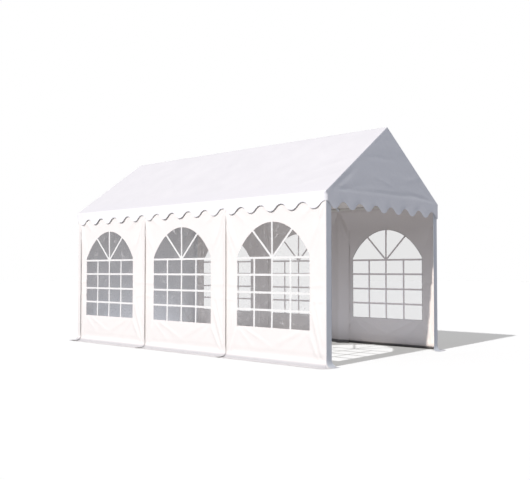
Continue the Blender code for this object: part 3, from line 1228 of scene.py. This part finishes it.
@dataclass
class WallPanel:
    """A wall panel with its ground flap, and its window where it has one."""

    node: str
    path: WallPath
    out: Point
    middle: float
    window: Window | None
    sizes: TentSizes
    seed: float
    spacing: float = 0.021
    low_spacing: float = 0.017
    hem: float = 0.03
    hem_roll: float = 2.0 * MM
    hem_roll_place: float = 0.018
    hem_roll_width: float = 0.012
    hang: float = -1.5 * MM
    belly: float = -8.0 * MM
    belly_half: float = 0.78
    undercut: float = 20.0 * MM
    undercut_foot: Point = (0.01, 0.06)
    undercut_head: Point = (0.07, 0.20)
    laps: tuple[bool, bool] = (False, False)
    lap_reach: float = 0.09
    lap_stand: float = 24.0 * MM
    lap_ground: float = 13.0 * MM
    lap_rise: Point = (0.02, 0.22)
    lap_head: Point = (2.0, 2.38)
    lap_head_share: float = 0.45
    # Where painted shade on the foot begins and where it fades again, as the cloth's lean in degrees.
    shade_bend: Point = (9.0, 52.0)
    shade_fade: Point = (66.0, 88.0)
    shade_fade_share: float = 0.35
    # The flat flap at the ends takes painted shade too.
    toe_bend: Point = (50.0, 80.0)
    toe_shade: float = 0.35
    # From this share of X on, an outward direction counts as that of a long side.
    side_facing: float = 0.7
    # The lower wall takes painted shade as well, darker towards the bottom.
    foot_soil: float = 0.20
    foot_shading_rise: Point = (0.1, 0.9)
    # Below this height the inner face is painted dark, as painted shade under the bend.
    foot_shade_height: float = 0.061
    ground_hold: Point = (0.01, 0.16)
    ground_wave: float = 2.2 * MM
    tip_wave: float = 0.035
    toe_spread: float = 0.045
    toe_height: float = 0.09
    fold_strength: float = 2.4
    extra: tuple[Fold, ...] = ()

    @property
    def flat_start(self) -> float:
        """Length of the flat part of the flap."""
        return self.sizes.side_reach - self.sizes.bend_radius

    @property
    def bend_end(self) -> float:
        """Length from the flap's tip to where the wall is upright."""
        return self.flat_start + self.sizes.bend_radius * math.pi / 2

    @property
    def rise(self) -> float:
        """What is added to a height on the upright wall to get the length from the flap's tip."""
        return self.bend_end - self.sizes.bend_radius - self.sizes.ground_face

    @property
    def full(self) -> float:
        """The panel's whole flat height."""
        return self.sizes.wall_top + self.rise

    def rows(self) -> list[float]:
        """Lengths from the flap's tip for the cloth's rows."""
        low = steps(0.0, self.bend_end, self.low_spacing)
        return low + steps(self.bend_end, self.full, self.spacing)[1:]

    def flat_of(self, across: float, up: float) -> Point:
        """A point of the wall's face, given across and up from the window's middle, in flat coordinates."""
        return self.window_place() + self.direction() * across, up + self.rise

    def direction(self) -> float:
        """+1 where the path runs towards +Y on the window's side, and -1 where it runs towards -Y."""
        return 1.0 if self.out[0] > 0 else -1.0

    def long_side(self) -> tuple[float, float, Vector]:
        """Finds the path's stretch along the tent's long side.

        Returns:
            Its start, its length and its first point.
        """
        for start, length, first, out, turn in self.path.parts():
            if not turn and abs(out.x) > 0.5 and length > 0.5:
                return start, length, first
        raise ValueError(f"{self.node} has no long side")

    def window_place(self) -> float:
        """The distance along the path at which the bay's middle lies."""
        start, _, first = self.long_side()
        return start + self.direction() * (self.middle - first.y)

    def place(self, t: Array, h: Array, inset: float = 0.0) -> Array:
        """Where the cloth hangs.

        Args:
            t: Distances along the path.
            h: Lengths from the flap's tip.
            inset: How far inside the outer face it lies.

        Returns:
            Points in the frame.
        """
        s = self.sizes
        points, outs = self.path.at(t)
        angle = np.clip((self.bend_end - h) / s.bend_radius, 0.0, math.pi / 2)
        flat = np.clip(self.flat_start - h, 0.0, None)
        share = (s.bend_radius * (1.0 - np.cos(angle)) + flat) / s.side_reach
        upright = np.clip(h - self.bend_end, 0.0, None)
        z = s.ground_face + s.bend_radius * (1.0 - np.sin(angle)) + upright
        up_share = smooth(*self.ground_hold, z)
        lift = self.lift(t, h) * up_share - inset
        stand = self.stand_out(t, z)
        wave = self.flap_wave(t)
        tip = np.clip(1.0 - h / self.bend_end, 0.0, 1.0)
        reach = share * (1.0 + self.tip_wave * wave * tip)
        lift += stand * np.cos(angle)
        x = points[:, 0] + outs[:, 0] * (s.side_reach * reach + lift)
        y = points[:, 1] + outs[:, 1] * (s.end_reach * reach + lift)
        corner = s.half_width - np.abs(points[:, 0])
        toe = smooth(0.03, s.wrap, corner) * (1.0 - smooth(0.0, self.toe_height, z))
        toe = toe * np.clip(-outs[:, 1], 0.0, 1.0)
        x -= np.sign(x) * self.toe_spread * toe * (self.out[0] != 0)
        ground = self.ground_wave * tip * (1.0 - tip) * 4.0 * np.clip(0.5 + self.flap_wave(t + 5.0), 0.0, 1.5)
        return np.stack([x, y, z + ground + stand * np.sin(angle)], axis=1)

    def stand_out(self, t: Array, z: Array) -> Array:
        """How far the edges that lap over the next panel stand off the wall's face.

        Args:
            t: Distances along the path.
            z: Heights.

        Returns:
            The distance at each point.
        """
        share = np.zeros_like(t)
        for lapped, from_edge in zip(self.laps, (t, self.path.length() - t)):
            if lapped:
                share = np.maximum(share, 1.0 - smooth(0.02, self.lap_reach, from_edge))
        high = self.lap_ground + (self.lap_stand - self.lap_ground) * smooth(*self.lap_rise, z)
        return share * high * (1.0 - self.lap_head_share * smooth(*self.lap_head, z))

    def soil(self, t: Array, h: Array) -> Array:
        """The painted shade on the foot: along the long sides most where the cloth turns outwards to the
        ground, and at the ends on the flat flap.

        Args:
            t: Distances along the path.
            h: Lengths from the flap's tip.

        Returns:
            The share of the second tone, which is painted shade, from 0 to 1.
        """
        _, outs = self.path.at(t)
        angle = np.clip((self.bend_end - h) / self.sizes.bend_radius, 0.0, math.pi / 2)
        leans = (self.shade_bend, self.shade_fade, self.toe_bend)
        bent, faded, toe = (smooth(*map(math.radians, lean), angle) for lean in leans)
        bend_shade = bent * (1.0 - self.shade_fade_share * faded)
        low = self.foot_soil * (1.0 - smooth(*self.foot_shading_rise, h - self.rise))
        on_long_side = np.abs(outs[:, 0]) > self.side_facing
        return np.where(on_long_side, np.maximum(bend_shade, low), self.toe_shade * toe)

    def flap_wave(self, t: Array) -> Array:
        """A slow wave along the flap's edge, from about -1 to 1."""
        return ripple(t, np.zeros_like(t), (0.35, 1.0), 0, self.seed + 20.0)

    def lift(self, t: Array, h: Array) -> Array:
        """How far the wall hangs outwards of its plane: a soft belly, folds from its corners and wrinkles.

        Args:
            t: Distances along the path.
            h: Lengths from the flap's tip.

        Returns:
            The lift at each point.
        """
        z = h - self.rise
        edge = np.minimum(t, self.path.length() - t)
        top = self.sizes.wall_top - z
        hold = smooth(0.0, 0.25, edge) * smooth(0.02, 0.45, top) * smooth(0.1, 0.5, z)
        lift = self.hang * hold
        low = smooth(*self.undercut_foot, z) * (1.0 - smooth(*self.undercut_head, z))
        lift -= self.undercut * low * smooth(0.05, 0.28, edge)
        across = t
        if self.window is not None:
            across = self.direction() * (t - self.window_place())
            bulge = np.clip(1.0 - (across / self.belly_half) ** 2, 0.0, 1.0)
            lift += self.belly * bulge * smooth(0.3, 0.9, z) * smooth(0.1, 0.8, top)
        lift += self.fold_strength * lifts(self.folds(), across, z) * smooth(0.0, 0.12, top)
        wrinkles = (
            Wrinkles(2.4, (0.32, 1.1), 6, self.seed),
            Wrinkles(1.0, (0.2, 0.5), 24, self.seed + 2, sharp=True),
            Wrinkles(0.5, (0.11, 0.16), -30, self.seed + 4),
        )
        near = 0.25 + 0.75 * smooth(0.0, 0.3, edge)
        lift += near * lifts(wrinkles, t, z) * smooth(0.0, 0.2, top)
        from_roll = (edge - self.hem_roll_place) / self.hem_roll_width
        return lift + np.exp(-(from_roll**2)) * self.hem_roll * smooth(0.0, 0.1, top)

    def ends(self) -> Point:
        """Finds the ends of the long side.

        Returns:
            Their places across from the window's middle, the one nearer the front first.
        """
        start, length, _ = self.long_side()
        both = [self.direction() * (place - self.window_place()) for place in (start, start + length)]
        return min(both), max(both)

    def folds(self) -> list[Fold]:
        """Lists the folds that tension pulls between the panel's corners and its window's.

        Returns:
            The folds.
        """
        found = list(self.extra)
        if self.window is None:
            return found
        for sign, edge, pull in zip((-1.0, 1.0), self.ends(), (1.0, 0.75)):
            jamb = sign * self.window.half_width
            found += [
                Fold((edge - sign * 0.03, 2.27), (jamb * 0.97, 1.60), 8.0, (0.025, 0.07), bow=sign * 0.035),
                Fold((edge - sign * 0.02, 2.05), (jamb * 1.05, 1.40), 4.0, (0.02, 0.06)),
                Fold((edge - sign * 0.10, 2.31), (sign * 0.50, 2.02), 3.5, (0.02, 0.06)),
                Fold((edge - sign * 0.075, 2.20), (edge - sign * 0.085, 1.20), 3.5, (0.02, 0.03)),
                Fold((edge - sign * 0.05, 0.10), (jamb * 1.03, 0.86), 10.0 * pull, (0.03, 0.055), crest=1.2),
                Fold((edge - sign * 0.13, 0.09), (jamb * 0.95, 0.52), 7.0 * pull, (0.03, 0.06), crest=1.2),
                Fold((edge - sign * 0.04, 0.30), (jamb * 1.10, 1.05), 4.5 * pull, (0.02, 0.04), crest=1.2),
                Fold((jamb * 0.98, 0.47), (sign * 0.26, 0.13), 2.2, (0.02, 0.07), bow=sign * 0.02),
                Fold((jamb * 0.80, 0.47), (-sign * 0.10, 0.17), 3.0, (0.02, 0.06)),
                Fold((edge - sign * 0.02, 1.12), (edge - sign * 0.34, 1.10), 2.3, (0.015, 0.03)),
                Fold((edge - sign * 0.02, 0.90), (edge - sign * 0.30, 0.87), 2.3, (0.015, 0.03)),
            ]
        return found

    def wraps_front(self, middle: Vector) -> bool:
        """Whether a point of the panel lies on the strip that wraps round the tent's front corner."""
        inner = self.sizes.half_width - 0.6 * self.sizes.corner_radius
        return middle.y < -self.sizes.half_length + self.sizes.corner_radius and abs(middle.x) < inner

    def build(self, cloths: WallCloths) -> Object:
        """Args:
            cloths: The finishes of its parts.

        Returns:
            The finished piece.
        """
        columns, rows = self.path.columns(self.spacing, self.hem / 2), self.rows()
        fill = [(t, h) for t in columns for h in rows]
        loops: list[list[Point]] = []
        window, near = self.window, 0.45 * self.spacing

        def on_cloth(t: float, h: float, margin: float = 0.0) -> bool:
            """Whether a point of the cloth lies outside the window grown by the margin.

            Args:
                t: Its distance along the path.
                h: Its length from the flap's tip.
                margin: The margin.

            Returns:
                True where it does.
            """
            if window is None:
                return True
            return not window.inside((t - middle) * self.direction(), h - self.rise, margin)

        if window is not None:
            middle = self.window_place()
            loops = [[self.flat_of(*p) for p in window.outline(0.0, 0.8 * self.spacing)]]
            fill = [p for p in fill if on_cloth(*p, near)]
        cut = cut_cloth(loops, fill, on_cloth)
        t, h = cut.points[:, 0], cut.points[:, 1]
        length = self.path.length()
        seam = np.minimum(np.minimum(t, length - t), np.minimum(h, self.full - h))
        cloth = ClothMesh(f"{self.node}_cloth")
        cloth.add(cut, self.place(t, h), np.abs(seam - self.hem), soil=self.soil(t, h))
        finishes = (cloths.outer, cloths.corner, cloths.foot, cloths.inner if window else cloths.rear)
        panel = cloth.finished(finishes, lining=len(finishes) - 1)
        corner, foot, inner = 1, 2, 3
        for face in panel.data.polygons:
            # The inner face near the ground gets the dark finish, painted shade.
            if face.material_index == inner and face.center.z < self.foot_shade_height:
                face.material_index = foot
            # The strip round the front corner gets the corner finish, painted shade.
            elif self.wraps_front(face.center):
                face.material_index = corner
        declare(panel, "wall_fabric", self.node)
        rail = self.node.replace("wall", "eave_rail") if window else "gable_bar_rear"
        declare_sheet(panel, (length, self.full), "hung", [rail], area=cloth.area)
        return panel


@dataclass
class WindowDressing:
    """The film of one window and the flat bars welded to its outer face."""

    panel: WallPanel
    film: SoftFilm
    cloth: CoatedCloth
    film_inset: float = 1.3 * MM
    bar_inset: float = -0.3 * MM
    bar_thickness: float = 2.6 * MM
    bar_margin: float = -0.4 * MM
    spacing: float = 0.03

    def build(self) -> tuple[Object, Object]:
        """Builds the film and the bars.

        Returns:
            The film and the bars.
        """
        bars = self.build_bars()
        return self.build_film(bars), bars

    @property
    def node(self) -> str:
        """The name of the CAD window."""
        return self.panel.node.replace("wall", "window")

    def welded(self, kind: str, cut: Cut, inset: float, finish: Finish, thickness: float) -> Object:
        """Hangs a cut of the window in its place and finishes it.

        Args:
            kind: What it is, for its name.
            cut: The cut, given across and up from the window's middle.
            inset: How far inside the wall's outer face it lies.
            finish: Its finish.
            thickness: Its thickness.

        Returns:
            The piece.
        """
        t = self.panel.window_place() + self.panel.direction() * cut.points[:, 0]
        placed = self.panel.place(t, cut.points[:, 1] + self.panel.rise, inset)
        cloth = ClothMesh(f"{self.node}_{kind}")
        cloth.add(cut, placed, np.full(len(placed), SEAM_FAR), flip=self.panel.direction() < 0)
        return cloth.finished((finish,), thickness)

    def build_film(self, bars: Object) -> Object:
        """Args:
            bars: The window's bars.

        Returns:
            The finished piece.
        """
        window = self.panel.window
        margin, size = window.margin, self.spacing
        half = window.half_width + margin
        fill = [
            (x, z)
            for x in steps(-half, half, size)
            for z in steps(window.foot - margin, window.top + margin, size)
            if window.inside(x, z, margin - 0.5 * size)
        ]
        cut = cut_cloth([window.outline(margin, size)], fill, lambda x, z: window.inside(x, z, margin))
        film = self.welded("film", cut, self.film_inset, self.film, FILM_THICKNESS)
        film.visible_shadow = False
        declare(film, "window_film", self.node)
        flat = (2 * half, window.top - window.foot + 2 * margin)
        declare_sheet(film, flat, "hung", [f"{self.panel.node}_cloth"], area=cut.area(), with_pieces=[bars])
        return film

    def build_bars(self) -> Object:
        """Builds and dresses the bars, as one lattice cut in one piece.

        Returns:
            The finished piece.
        """
        window = self.panel.window
        half = window.bar / 2
        loops, strips = [], []
        for a, b in window.strips():
            start, end = Vector(a), Vector(b)
            along = (end - start).normalized()
            side = Vector((-along.y, along.x)) * half
            rims = ((start - side, end - side), (end + side, start + side))
            rims = ([tuple(corner) for corner in rim] for rim in rims)
            loops.append([point for rim in rims for point in along_line(rim, self.spacing)])
            strips.append((start, along, (end - start).length))

        def on_bar(x: float, z: float) -> bool:
            """Whether a point inside the window lies on one of its strips.

            Args:
                x: Its place across the window.
                z: Its height.

            Returns:
                True where it does.
            """
            for start, along, length in strips:
                step = Vector((x, z)) - start
                beside = abs(step.x * along.y - step.y * along.x)
                if -CUT_TOLERANCE < step.dot(along) < length + CUT_TOLERANCE and beside < half:
                    return window.inside(x, z, self.bar_margin)
            return False

        loops.append(window.outline(self.bar_margin, self.spacing))
        cut = cut_cloth(loops, [], on_bar)
        bars = self.welded("bars", cut, self.bar_inset, self.cloth, self.bar_thickness)
        declare(bars, "wall_fabric")
        log.info("%s: %d faces", bars.name, len(bars.data.polygons))
        return bars


@dataclass
class Pocket:
    """A strip of cloth sewn inside the walls, which closes softly round a post or an eave rail."""

    name: str
    node: str
    panels: tuple[WallPanel, ...]
    ends: Point
    post: float | None = None
    inset: float = 1.3 * MM
    most_out: float = 1.4985
    depth: float = 47.0 * MM
    grip: float = 0.022
    reach: float = 0.20
    rail_foot: float = 2.06
    rail_grip: float = 2.388
    rail_head: float = 2.4505
    cover_foot: float = 2.415
    upright_from: float = 0.10
    closing: float = 1.7
    softness: float = 1.2 * MM
    blend: float = 0.03
    spacing: float = 0.03

    def section(self) -> tuple[list[float], Array]:
        """Describes the strip's shape across.

        Returns:
            Places across it, and how far it closes round the tube there, from 0 to 1.
        """
        if self.post is None:
            across = steps(self.rail_foot, self.rail_grip, self.spacing) + [self.cover_foot, self.rail_head]
            gap = np.clip((self.rail_grip - np.array(across)) / (self.rail_grip - self.rail_foot), 0.0, 1.0)
        else:
            half = [0.0, 0.5 * self.grip, *steps(self.grip, self.reach, 0.6 * self.spacing)]
            across = [-place for place in reversed(half[1:])] + half
            gap = np.clip((np.abs(across) - self.grip) / (self.reach - self.grip), 0.0, 1.0)
        return across, (1.0 - gap) ** self.closing

    def run(self) -> list[float]:
        """Places its rows.

        Returns:
            Their places along the strip.
        """
        low, high = self.ends
        if self.post is None:
            return steps(low, high, self.spacing)
        turn = self.panels[0].foot_shade_height
        return [low, *steps(turn, high, self.spacing)]

    def wall_out(self, y: Array, z: Array) -> Array:
        """How far from the tent's middle the walls hang at each point.

        Args:
            y: Places along the tent.
            z: Heights.

        Returns:
            The distance at each point.
        """
        found = []
        for panel in self.panels:
            t = panel.window_place() + panel.direction() * (y - panel.middle)
            t = np.clip(t, 0.0, panel.path.length())
            found.append(np.abs(panel.place(t, np.maximum(z, self.upright_from) + panel.rise)[:, 0]))
        if self.post is None:
            return found[0]
        share = smooth(-self.blend, self.blend, y - self.post)
        return (1.0 - share) * found[0] + share * found[1]

    def build(self, cloths: WallCloths) -> Object:
        """Args:
            cloths: The finishes of the wall's parts.

        Returns:
            The finished piece.
        """
        across, closed = self.section()
        run = self.run()
        count = len(run)
        wide, along = np.repeat(across, count), np.tile(run, len(across))
        y, z = (along, wide) if self.post is None else (self.post + wide, along)
        soft = self.softness * (1.0 + ripple(wide, along, (0.10, 0.6), 8, self.ends[0] + 60.0))
        out = np.minimum(self.wall_out(y, z), self.most_out) - self.inset
        out -= np.repeat(closed, count) * (self.depth + soft)
        side = self.panels[0].out[0]
        bent = np.concatenate([[0.0], np.cumsum(np.hypot(np.diff(across), self.depth * np.diff(closed)))])
        flat = np.stack([np.repeat(bent, count), along - run[0]], axis=1)
        seam = np.minimum(flat[:, 0], bent[-1] - flat[:, 0])
        cloth = ClothMesh(self.name)
        cut = Cut(flat, grid_faces(len(across), count))
        flip = (side > 0) == (self.post is not None)
        cloth.add(cut, np.stack([side * out, y, z], axis=1), seam, flip=flip)
        strip = cloth.finished((cloths.inner, cloths.foot, cloths.eave))
        foot, eave = 1, 2
        for face in strip.data.polygons:
            # Painted shade below the walls' foot line.
            if face.center.z < self.panels[0].foot_shade_height:
                face.material_index = foot
            # Painted light on the band under the roof.
            elif face.center.z > self.cover_foot:
                face.material_index = eave
        declare(strip, "wall_fabric")
        declare_sheet(strip, (float(bent[-1]), run[-1] - run[0]), "stretched", [self.node])
        return strip


RIGHT_FOLDS = (
    Fold((0.96, 2.36), (0.72, 1.60), -7.0, (0.020, 0.045), bow=0.02, crest=1.3),
    Fold((0.82, 2.30), (0.80, 0.50), 4.5, (0.025, 0.045), crest=1.4),
    Fold((0.80, 2.36), (0.10, 2.15), 4.5, (0.030, 0.080), bow=-0.02),
)
REAR_FOLDS = (
    Fold((0.15, 2.32), (0.75, 1.55), 6.0, (0.02, 0.09), bow=0.05),
    Fold((0.14, 2.25), (0.45, 1.35), 5.0, (0.02, 0.07)),
    Fold((3.05, 2.32), (2.45, 1.60), 6.0, (0.02, 0.09), bow=-0.05),
    Fold((3.06, 2.20), (2.75, 1.30), 5.0, (0.02, 0.07)),
    Fold((0.16, 0.12), (0.70, 0.85), 6.0, (0.03, 0.08)),
    Fold((3.04, 0.12), (2.40, 0.80), 6.0, (0.03, 0.08)),
    Fold((1.25, 2.35), (1.32, 1.30), 3.5, (0.04, 0.10)),
    Fold((1.95, 2.35), (1.90, 1.20), 3.5, (0.04, 0.10)),
)


@dataclass
class Walls:
    """Three panels with windows on each long side, and one plain rear wall that wraps both rear corners."""

    sizes: TentSizes
    cloths: WallCloths
    films: dict[Side, SoftFilm]
    lap: float = 0.020
    tuck: float = 0.038

    def panels(self) -> list[WallPanel]:
        """The seven panels, with their ends read from the frame.

        Returns:
            The panels of the left side, of the right side and of the rear.
        """
        s = self.sizes
        found = []
        for side in Side:
            x = side.value * s.half_width
            for number, middle in enumerate(s.bays, start=1):
                node = f"wall_{side.name.lower()}_{number}"
                low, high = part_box(node)
                back = high.y + self.tuck
                line = [(x, low.y - self.lap), (x, back)]
                if number == 1:
                    line = [(x - side.value * s.wrap, -s.half_length), (x, -s.half_length), (x, back)]
                laps = (number > 1, False)
                if side is Side.LEFT:
                    line.reverse()
                    laps = laps[::-1]
                path = WallPath(tuple(line), s.corner_radius)
                seed = 30.0 + 7.0 * number + 40.0 * side.value
                out = (float(side.value), 0.0)
                extra = RIGHT_FOLDS if side is Side.RIGHT else ()
                found.append(WallPanel(node, path, out, middle, Window(), s, seed, laps=laps, extra=extra))
        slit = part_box("rear_wall")[0].y - self.lap
        left, right, back = -s.half_width, s.half_width, s.half_length
        path = WallPath(((right, slit), (right, back), (left, back), (left, slit)), s.corner_radius)
        rear = {"spacing": 0.026, "laps": (True, True), "extra": REAR_FOLDS}
        return found + [WallPanel("rear_wall", path, (0.0, 1.0), 0.0, None, s, 97.0, **rear)]

    def build(self) -> None:
        """Builds every panel with its window, and the pockets round the frame."""
        panels = self.panels()
        for panel in panels:
            panel.build(self.cloths)
            if panel.window is not None:
                side = Side.RIGHT if panel.out[0] > 0 else Side.LEFT
                WindowDressing(panel, self.films[side], self.cloths.strip[side]).build()
        for pocket in self.pockets(panels):
            pocket.build(self.cloths)

    def pockets(self, panels: Sequence[WallPanel]) -> list[Pocket]:
        """The pockets round the posts between the bays, and round the eave rails.

        Args:
            panels: The wall's panels.

        Returns:
            The pockets.
        """
        found = []
        frames = self.sizes.frames
        for side in Side:
            name = side.name.lower()
            row = [panel for panel in panels if panel.out[0] == side.value]
            for i, panel in enumerate(row):
                bay, ends = f"{name}_{i + 1}", (frames[i], frames[i + 1])
                found.append(Pocket(f"rail_pocket_{bay}", f"eave_rail_{bay}", (panel,), ends))
            for i, pair in enumerate(zip(row, row[1:]), start=2):
                post = f"post_{name}_{i}"
                found.append(Pocket(f"post_pocket_{name}_{i}", post, pair, (0.003, 2.385), frames[i - 1]))
        return found


@dataclass
class SteelFrame:
    """The finish of the CAD tubes and fittings."""

    nodes: dict[str, Object]
    tube: PowderCoat
    fitting: PowderCoat

    def dress(self) -> None:
        """Gives every shown CAD node its powder coat."""
        tube, fitting = self.tube.material(), self.fitting.material()
        for name, obj in self.nodes.items():
            if obj.hide_render:
                continue
            finish = fitting if name.startswith("ridge_fitting") else tube
            obj.data.materials.clear()
            obj.data.materials.append(finish)
            log.info("%s: %s", name, finish.name)


@dataclass
class Studio:
    """A plain pale floor, one far lamp, soft light from all round, and the camera."""

    camera_place: Triple = (-9.4069, -9.1532, 1.3141)
    camera_yaw: float = 47.35
    camera_pitch: float = 1.673
    lens_mm: float = 49.80
    sensor_mm: float = 36.0
    shift_up: float = 0.01826
    lamp_travel: Triple = (1.485, 0.103, -1.0)
    lamp_strength: float = 3.15
    lamp_spread: float = 0.8
    lamp_colour: Triple = (1.0, 0.95, 0.925)
    sky: Triple = (0.322, 0.345, 0.405)
    backdrop: Triple = (1.0, 1.0, 1.0)
    floor_side: float = 160.0
    floor_bounce: str = "#b0b0b1"
    floor_seen: Triple = (0.565, 0.592, 0.609)
    floor_glow: float = 0.399
    floor_glow_tint: Triple = (1.0, 0.970, 0.916)
    inner_size: Point = (2.4, 5.96)
    inner_glow: Triple = (0.99, 0.30, 0.80)
    inner_tint: Triple = (0.88, 0.975, 1.18)
    fade_from: float = 0.1

    def build(self) -> None:
        """Sets up the floor, the light and the camera."""
        self.add_floor()
        self.add_lamp()
        self.add_surroundings()
        self.add_camera()

    def add_floor(self) -> None:
        """Adds the floor and, under the tent, a patch that looks the same but throws up more light."""
        for name, height, size, glow in (
            ("floor", 0.0, (self.floor_side, self.floor_side), (0.0, 0.0, 0.0)),
            ("floor_inside", 0.2 * MM, self.inner_size, self.inner_glow),
        ):
            bpy.ops.object.select_all(action="DESELECT")
            bpy.ops.mesh.primitive_plane_add(size=1.0, location=(0, 0, height))
            floor = bpy.context.object
            floor.name = name
            floor.scale = (*size, 1.0)
            floor.data.materials.append(self.floor_material(name, glow))

    def floor_material(self, name: str, thrown_glow: Triple) -> Material:
        """The floor's material, which shows as plain white with the tent's even grey shadow on it.

        Args:
            name: Its name.
            thrown_glow: The light that its front, middle and rear give the tent besides what they throw back.

        Returns:
            The material.
        """
        made, tree, place = new_material(f"pale studio {name}")
        to_lamp = -Vector(self.lamp_travel).normalized()
        facing = add_node(tree, "CombineXYZ", dict(zip("XYZ", to_lamp))).outputs[0]
        bright = add_node(tree, "BsdfDiffuse", {"Color": (*self.floor_seen, 1.0)}, {"Normal": facing})
        even = {"Color": (*self.floor_glow_tint, 1.0), "Strength": self.floor_glow}
        glow = add_node(tree, "Emission", even).outputs[0]
        shown = add_node(tree, "AddShader", links={0: bright.outputs[0], 1: glow}).outputs[0]
        matt = add_node(tree, "BsdfDiffuse", {"Color": linear(self.floor_bounce)}).outputs[0]
        along = add_node(tree, "SeparateXYZ", links={0: place}).outputs["Y"]
        front, middle, rear = thrown_glow
        halves = {}
        for index, (far, end_glow) in enumerate(((-0.5, front), (0.5, rear))):
            fade = {"From Min": self.fade_from, "From Max": far, "To Min": middle, "To Max": end_glow}
            halves[index] = add_node(tree, "MapRange", fade, {"Value": along}).outputs[0]
        fades = add_node(tree, "Math", links=halves, operation="MAXIMUM").outputs[0]
        extra = add_node(tree, "Emission", {"Color": (*self.inner_tint, 1.0)}, {"Strength": fades}).outputs[0]
        thrown = add_node(tree, "AddShader", links={0: matt, 1: extra}).outputs[0]
        from_camera = add_node(tree, "LightPath").outputs["Is Camera Ray"]
        mixed = add_node(tree, "MixShader", links={0: from_camera, 1: thrown, 2: shown}).outputs[0]
        add_node(tree, "OutputMaterial", links={"Surface": mixed})
        return made

    def add_lamp(self) -> None:
        """Adds the far lamp, high on the left."""
        data = bpy.data.lights.new("far_lamp", "SUN")
        data.energy = self.lamp_strength
        data.color = self.lamp_colour
        data.angle = math.radians(self.lamp_spread)
        turned = Vector(self.lamp_travel).to_track_quat("-Z", "Y").to_euler()
        new_object("far_lamp", data).rotation_euler = turned

    def add_surroundings(self) -> None:
        """Adds soft light from all round, behind a plain white backdrop."""
        world = bpy.data.worlds.new("studio")
        world.use_nodes = True
        tree = world.node_tree
        tree.nodes.clear()
        soft, backdrop = (
            add_node(tree, "Background", {"Color": (*colour, 1.0), "Strength": 1.0}).outputs[0]
            for colour in (self.sky, self.backdrop)
        )
        seen = add_node(tree, "LightPath").outputs["Is Camera Ray"]
        mixed = add_node(tree, "MixShader", links={0: seen, 1: soft, 2: backdrop})
        add_node(tree, "OutputWorld", links={"Surface": mixed.outputs[0]})
        bpy.context.scene.world = world
        bpy.context.scene.view_settings.view_transform = "Standard"

    def add_camera(self) -> None:
        """Adds the camera, standing low at the front left corner."""
        data = bpy.data.cameras.new("camera")
        data.lens = self.lens_mm
        data.sensor_width = self.sensor_mm
        data.shift_y = self.shift_up
        camera = new_object("camera", data)
        camera.location = self.camera_place
        camera.rotation_euler = (math.radians(90 + self.camera_pitch), 0, -math.radians(self.camera_yaw))
        bpy.context.scene.camera = camera


def main() -> None:
    """Builds the tent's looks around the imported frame."""
    logging.basicConfig(level=logging.INFO, format="%(message)s")
    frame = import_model()
    sizes = TentSizes()
    coat = "PVC coated polyester"
    cover = (
        CoatedCloth(f"{coat}, roof white", "#e9e8e9", "#dddcde", second="#e3e2e4"),
        CoatedCloth(f"{coat}, valance white", "#f1f2f5", "#eeeff2", second="#f1f2f5"),
        # The inner faces are painted darker as painted shade, the roof's dark brown; the roof's second tone
        # is painted light along the eaves.
        CoatedCloth(f"{coat}, roof inner face", "#7b6f64", "#766a5f", second="#ece3d6"),
        CoatedCloth(f"{coat}, valance inner face", "#d8d3cd", "#d2cdc7", second="#d8d3cd"),
    )
    cloths = WallCloths(
        outer=CoatedCloth(f"{coat}, wall white", "#f5f2ef", "#f1eeeb"),
        # Painted warm light: the walls' inner face is tinted warmer than the outer white.
        inner=CoatedCloth(f"{coat}, wall inner face", "#f3eae1", "#efe6dd", second="#ebe2d9"),
        rear=CoatedCloth(f"{coat}, rear wall inner face", "#f5f3f0", "#f1efec", second="#f1efec"),
        # Painted shade: the corner strip is painted darker and bluer than the wall.
        corner=CoatedCloth(f"{coat}, corner strip white", "#e2e6ea", "#dfe3e7"),
        # Painted shade: the inner face at the ground is painted dark.
        foot=CoatedCloth(f"{coat}, inner face at the ground", "#8d8884", "#84807c", second="#8d8884"),
        strip={
            Side.LEFT: CoatedCloth("PVC coated strip, sunny side", "#eeefed", "#ebecea", crease_mm=300.0),
            # Painted warm light: the shaded side's bars are painted lighter and warmer.
            Side.RIGHT: CoatedCloth("PVC coated strip, shaded side", "#fbf0e8", "#f8ede5", crease_mm=300.0),
        },
        # Painted light: the band under the roof is painted lighter and beige.
        eave=CoatedCloth(f"{coat}, eave band", "#fbf5ea", "#f8f2e7"),
    )
    films = {
        Side.LEFT: SoftFilm("clear PVC window film, sunny side", "#f2f2f0", "#e6e6e5", 0.053, 0.25),
        # Painted shade: the shaded side's film has a grey haze.
        Side.RIGHT: SoftFilm("clear PVC window film, shaded side", "#8a8a8a", "#848484", 0.117, 0.0),
    }
    RoofCover(sizes, cover).build()
    Walls(sizes, cloths, films).build()
    tube = PowderCoat("powder coated steel tube, white", "#e4e4e3", "#dededd")
    fitting = PowderCoat("powder coated steel fitting, white", "#dfdfdf", "#d8d8d8", roughness=(0.36, 0.54))
    SteelFrame(frame["nodes"], tube, fitting).dress()
    Studio().build()


if __name__ == "__main__":
    main()
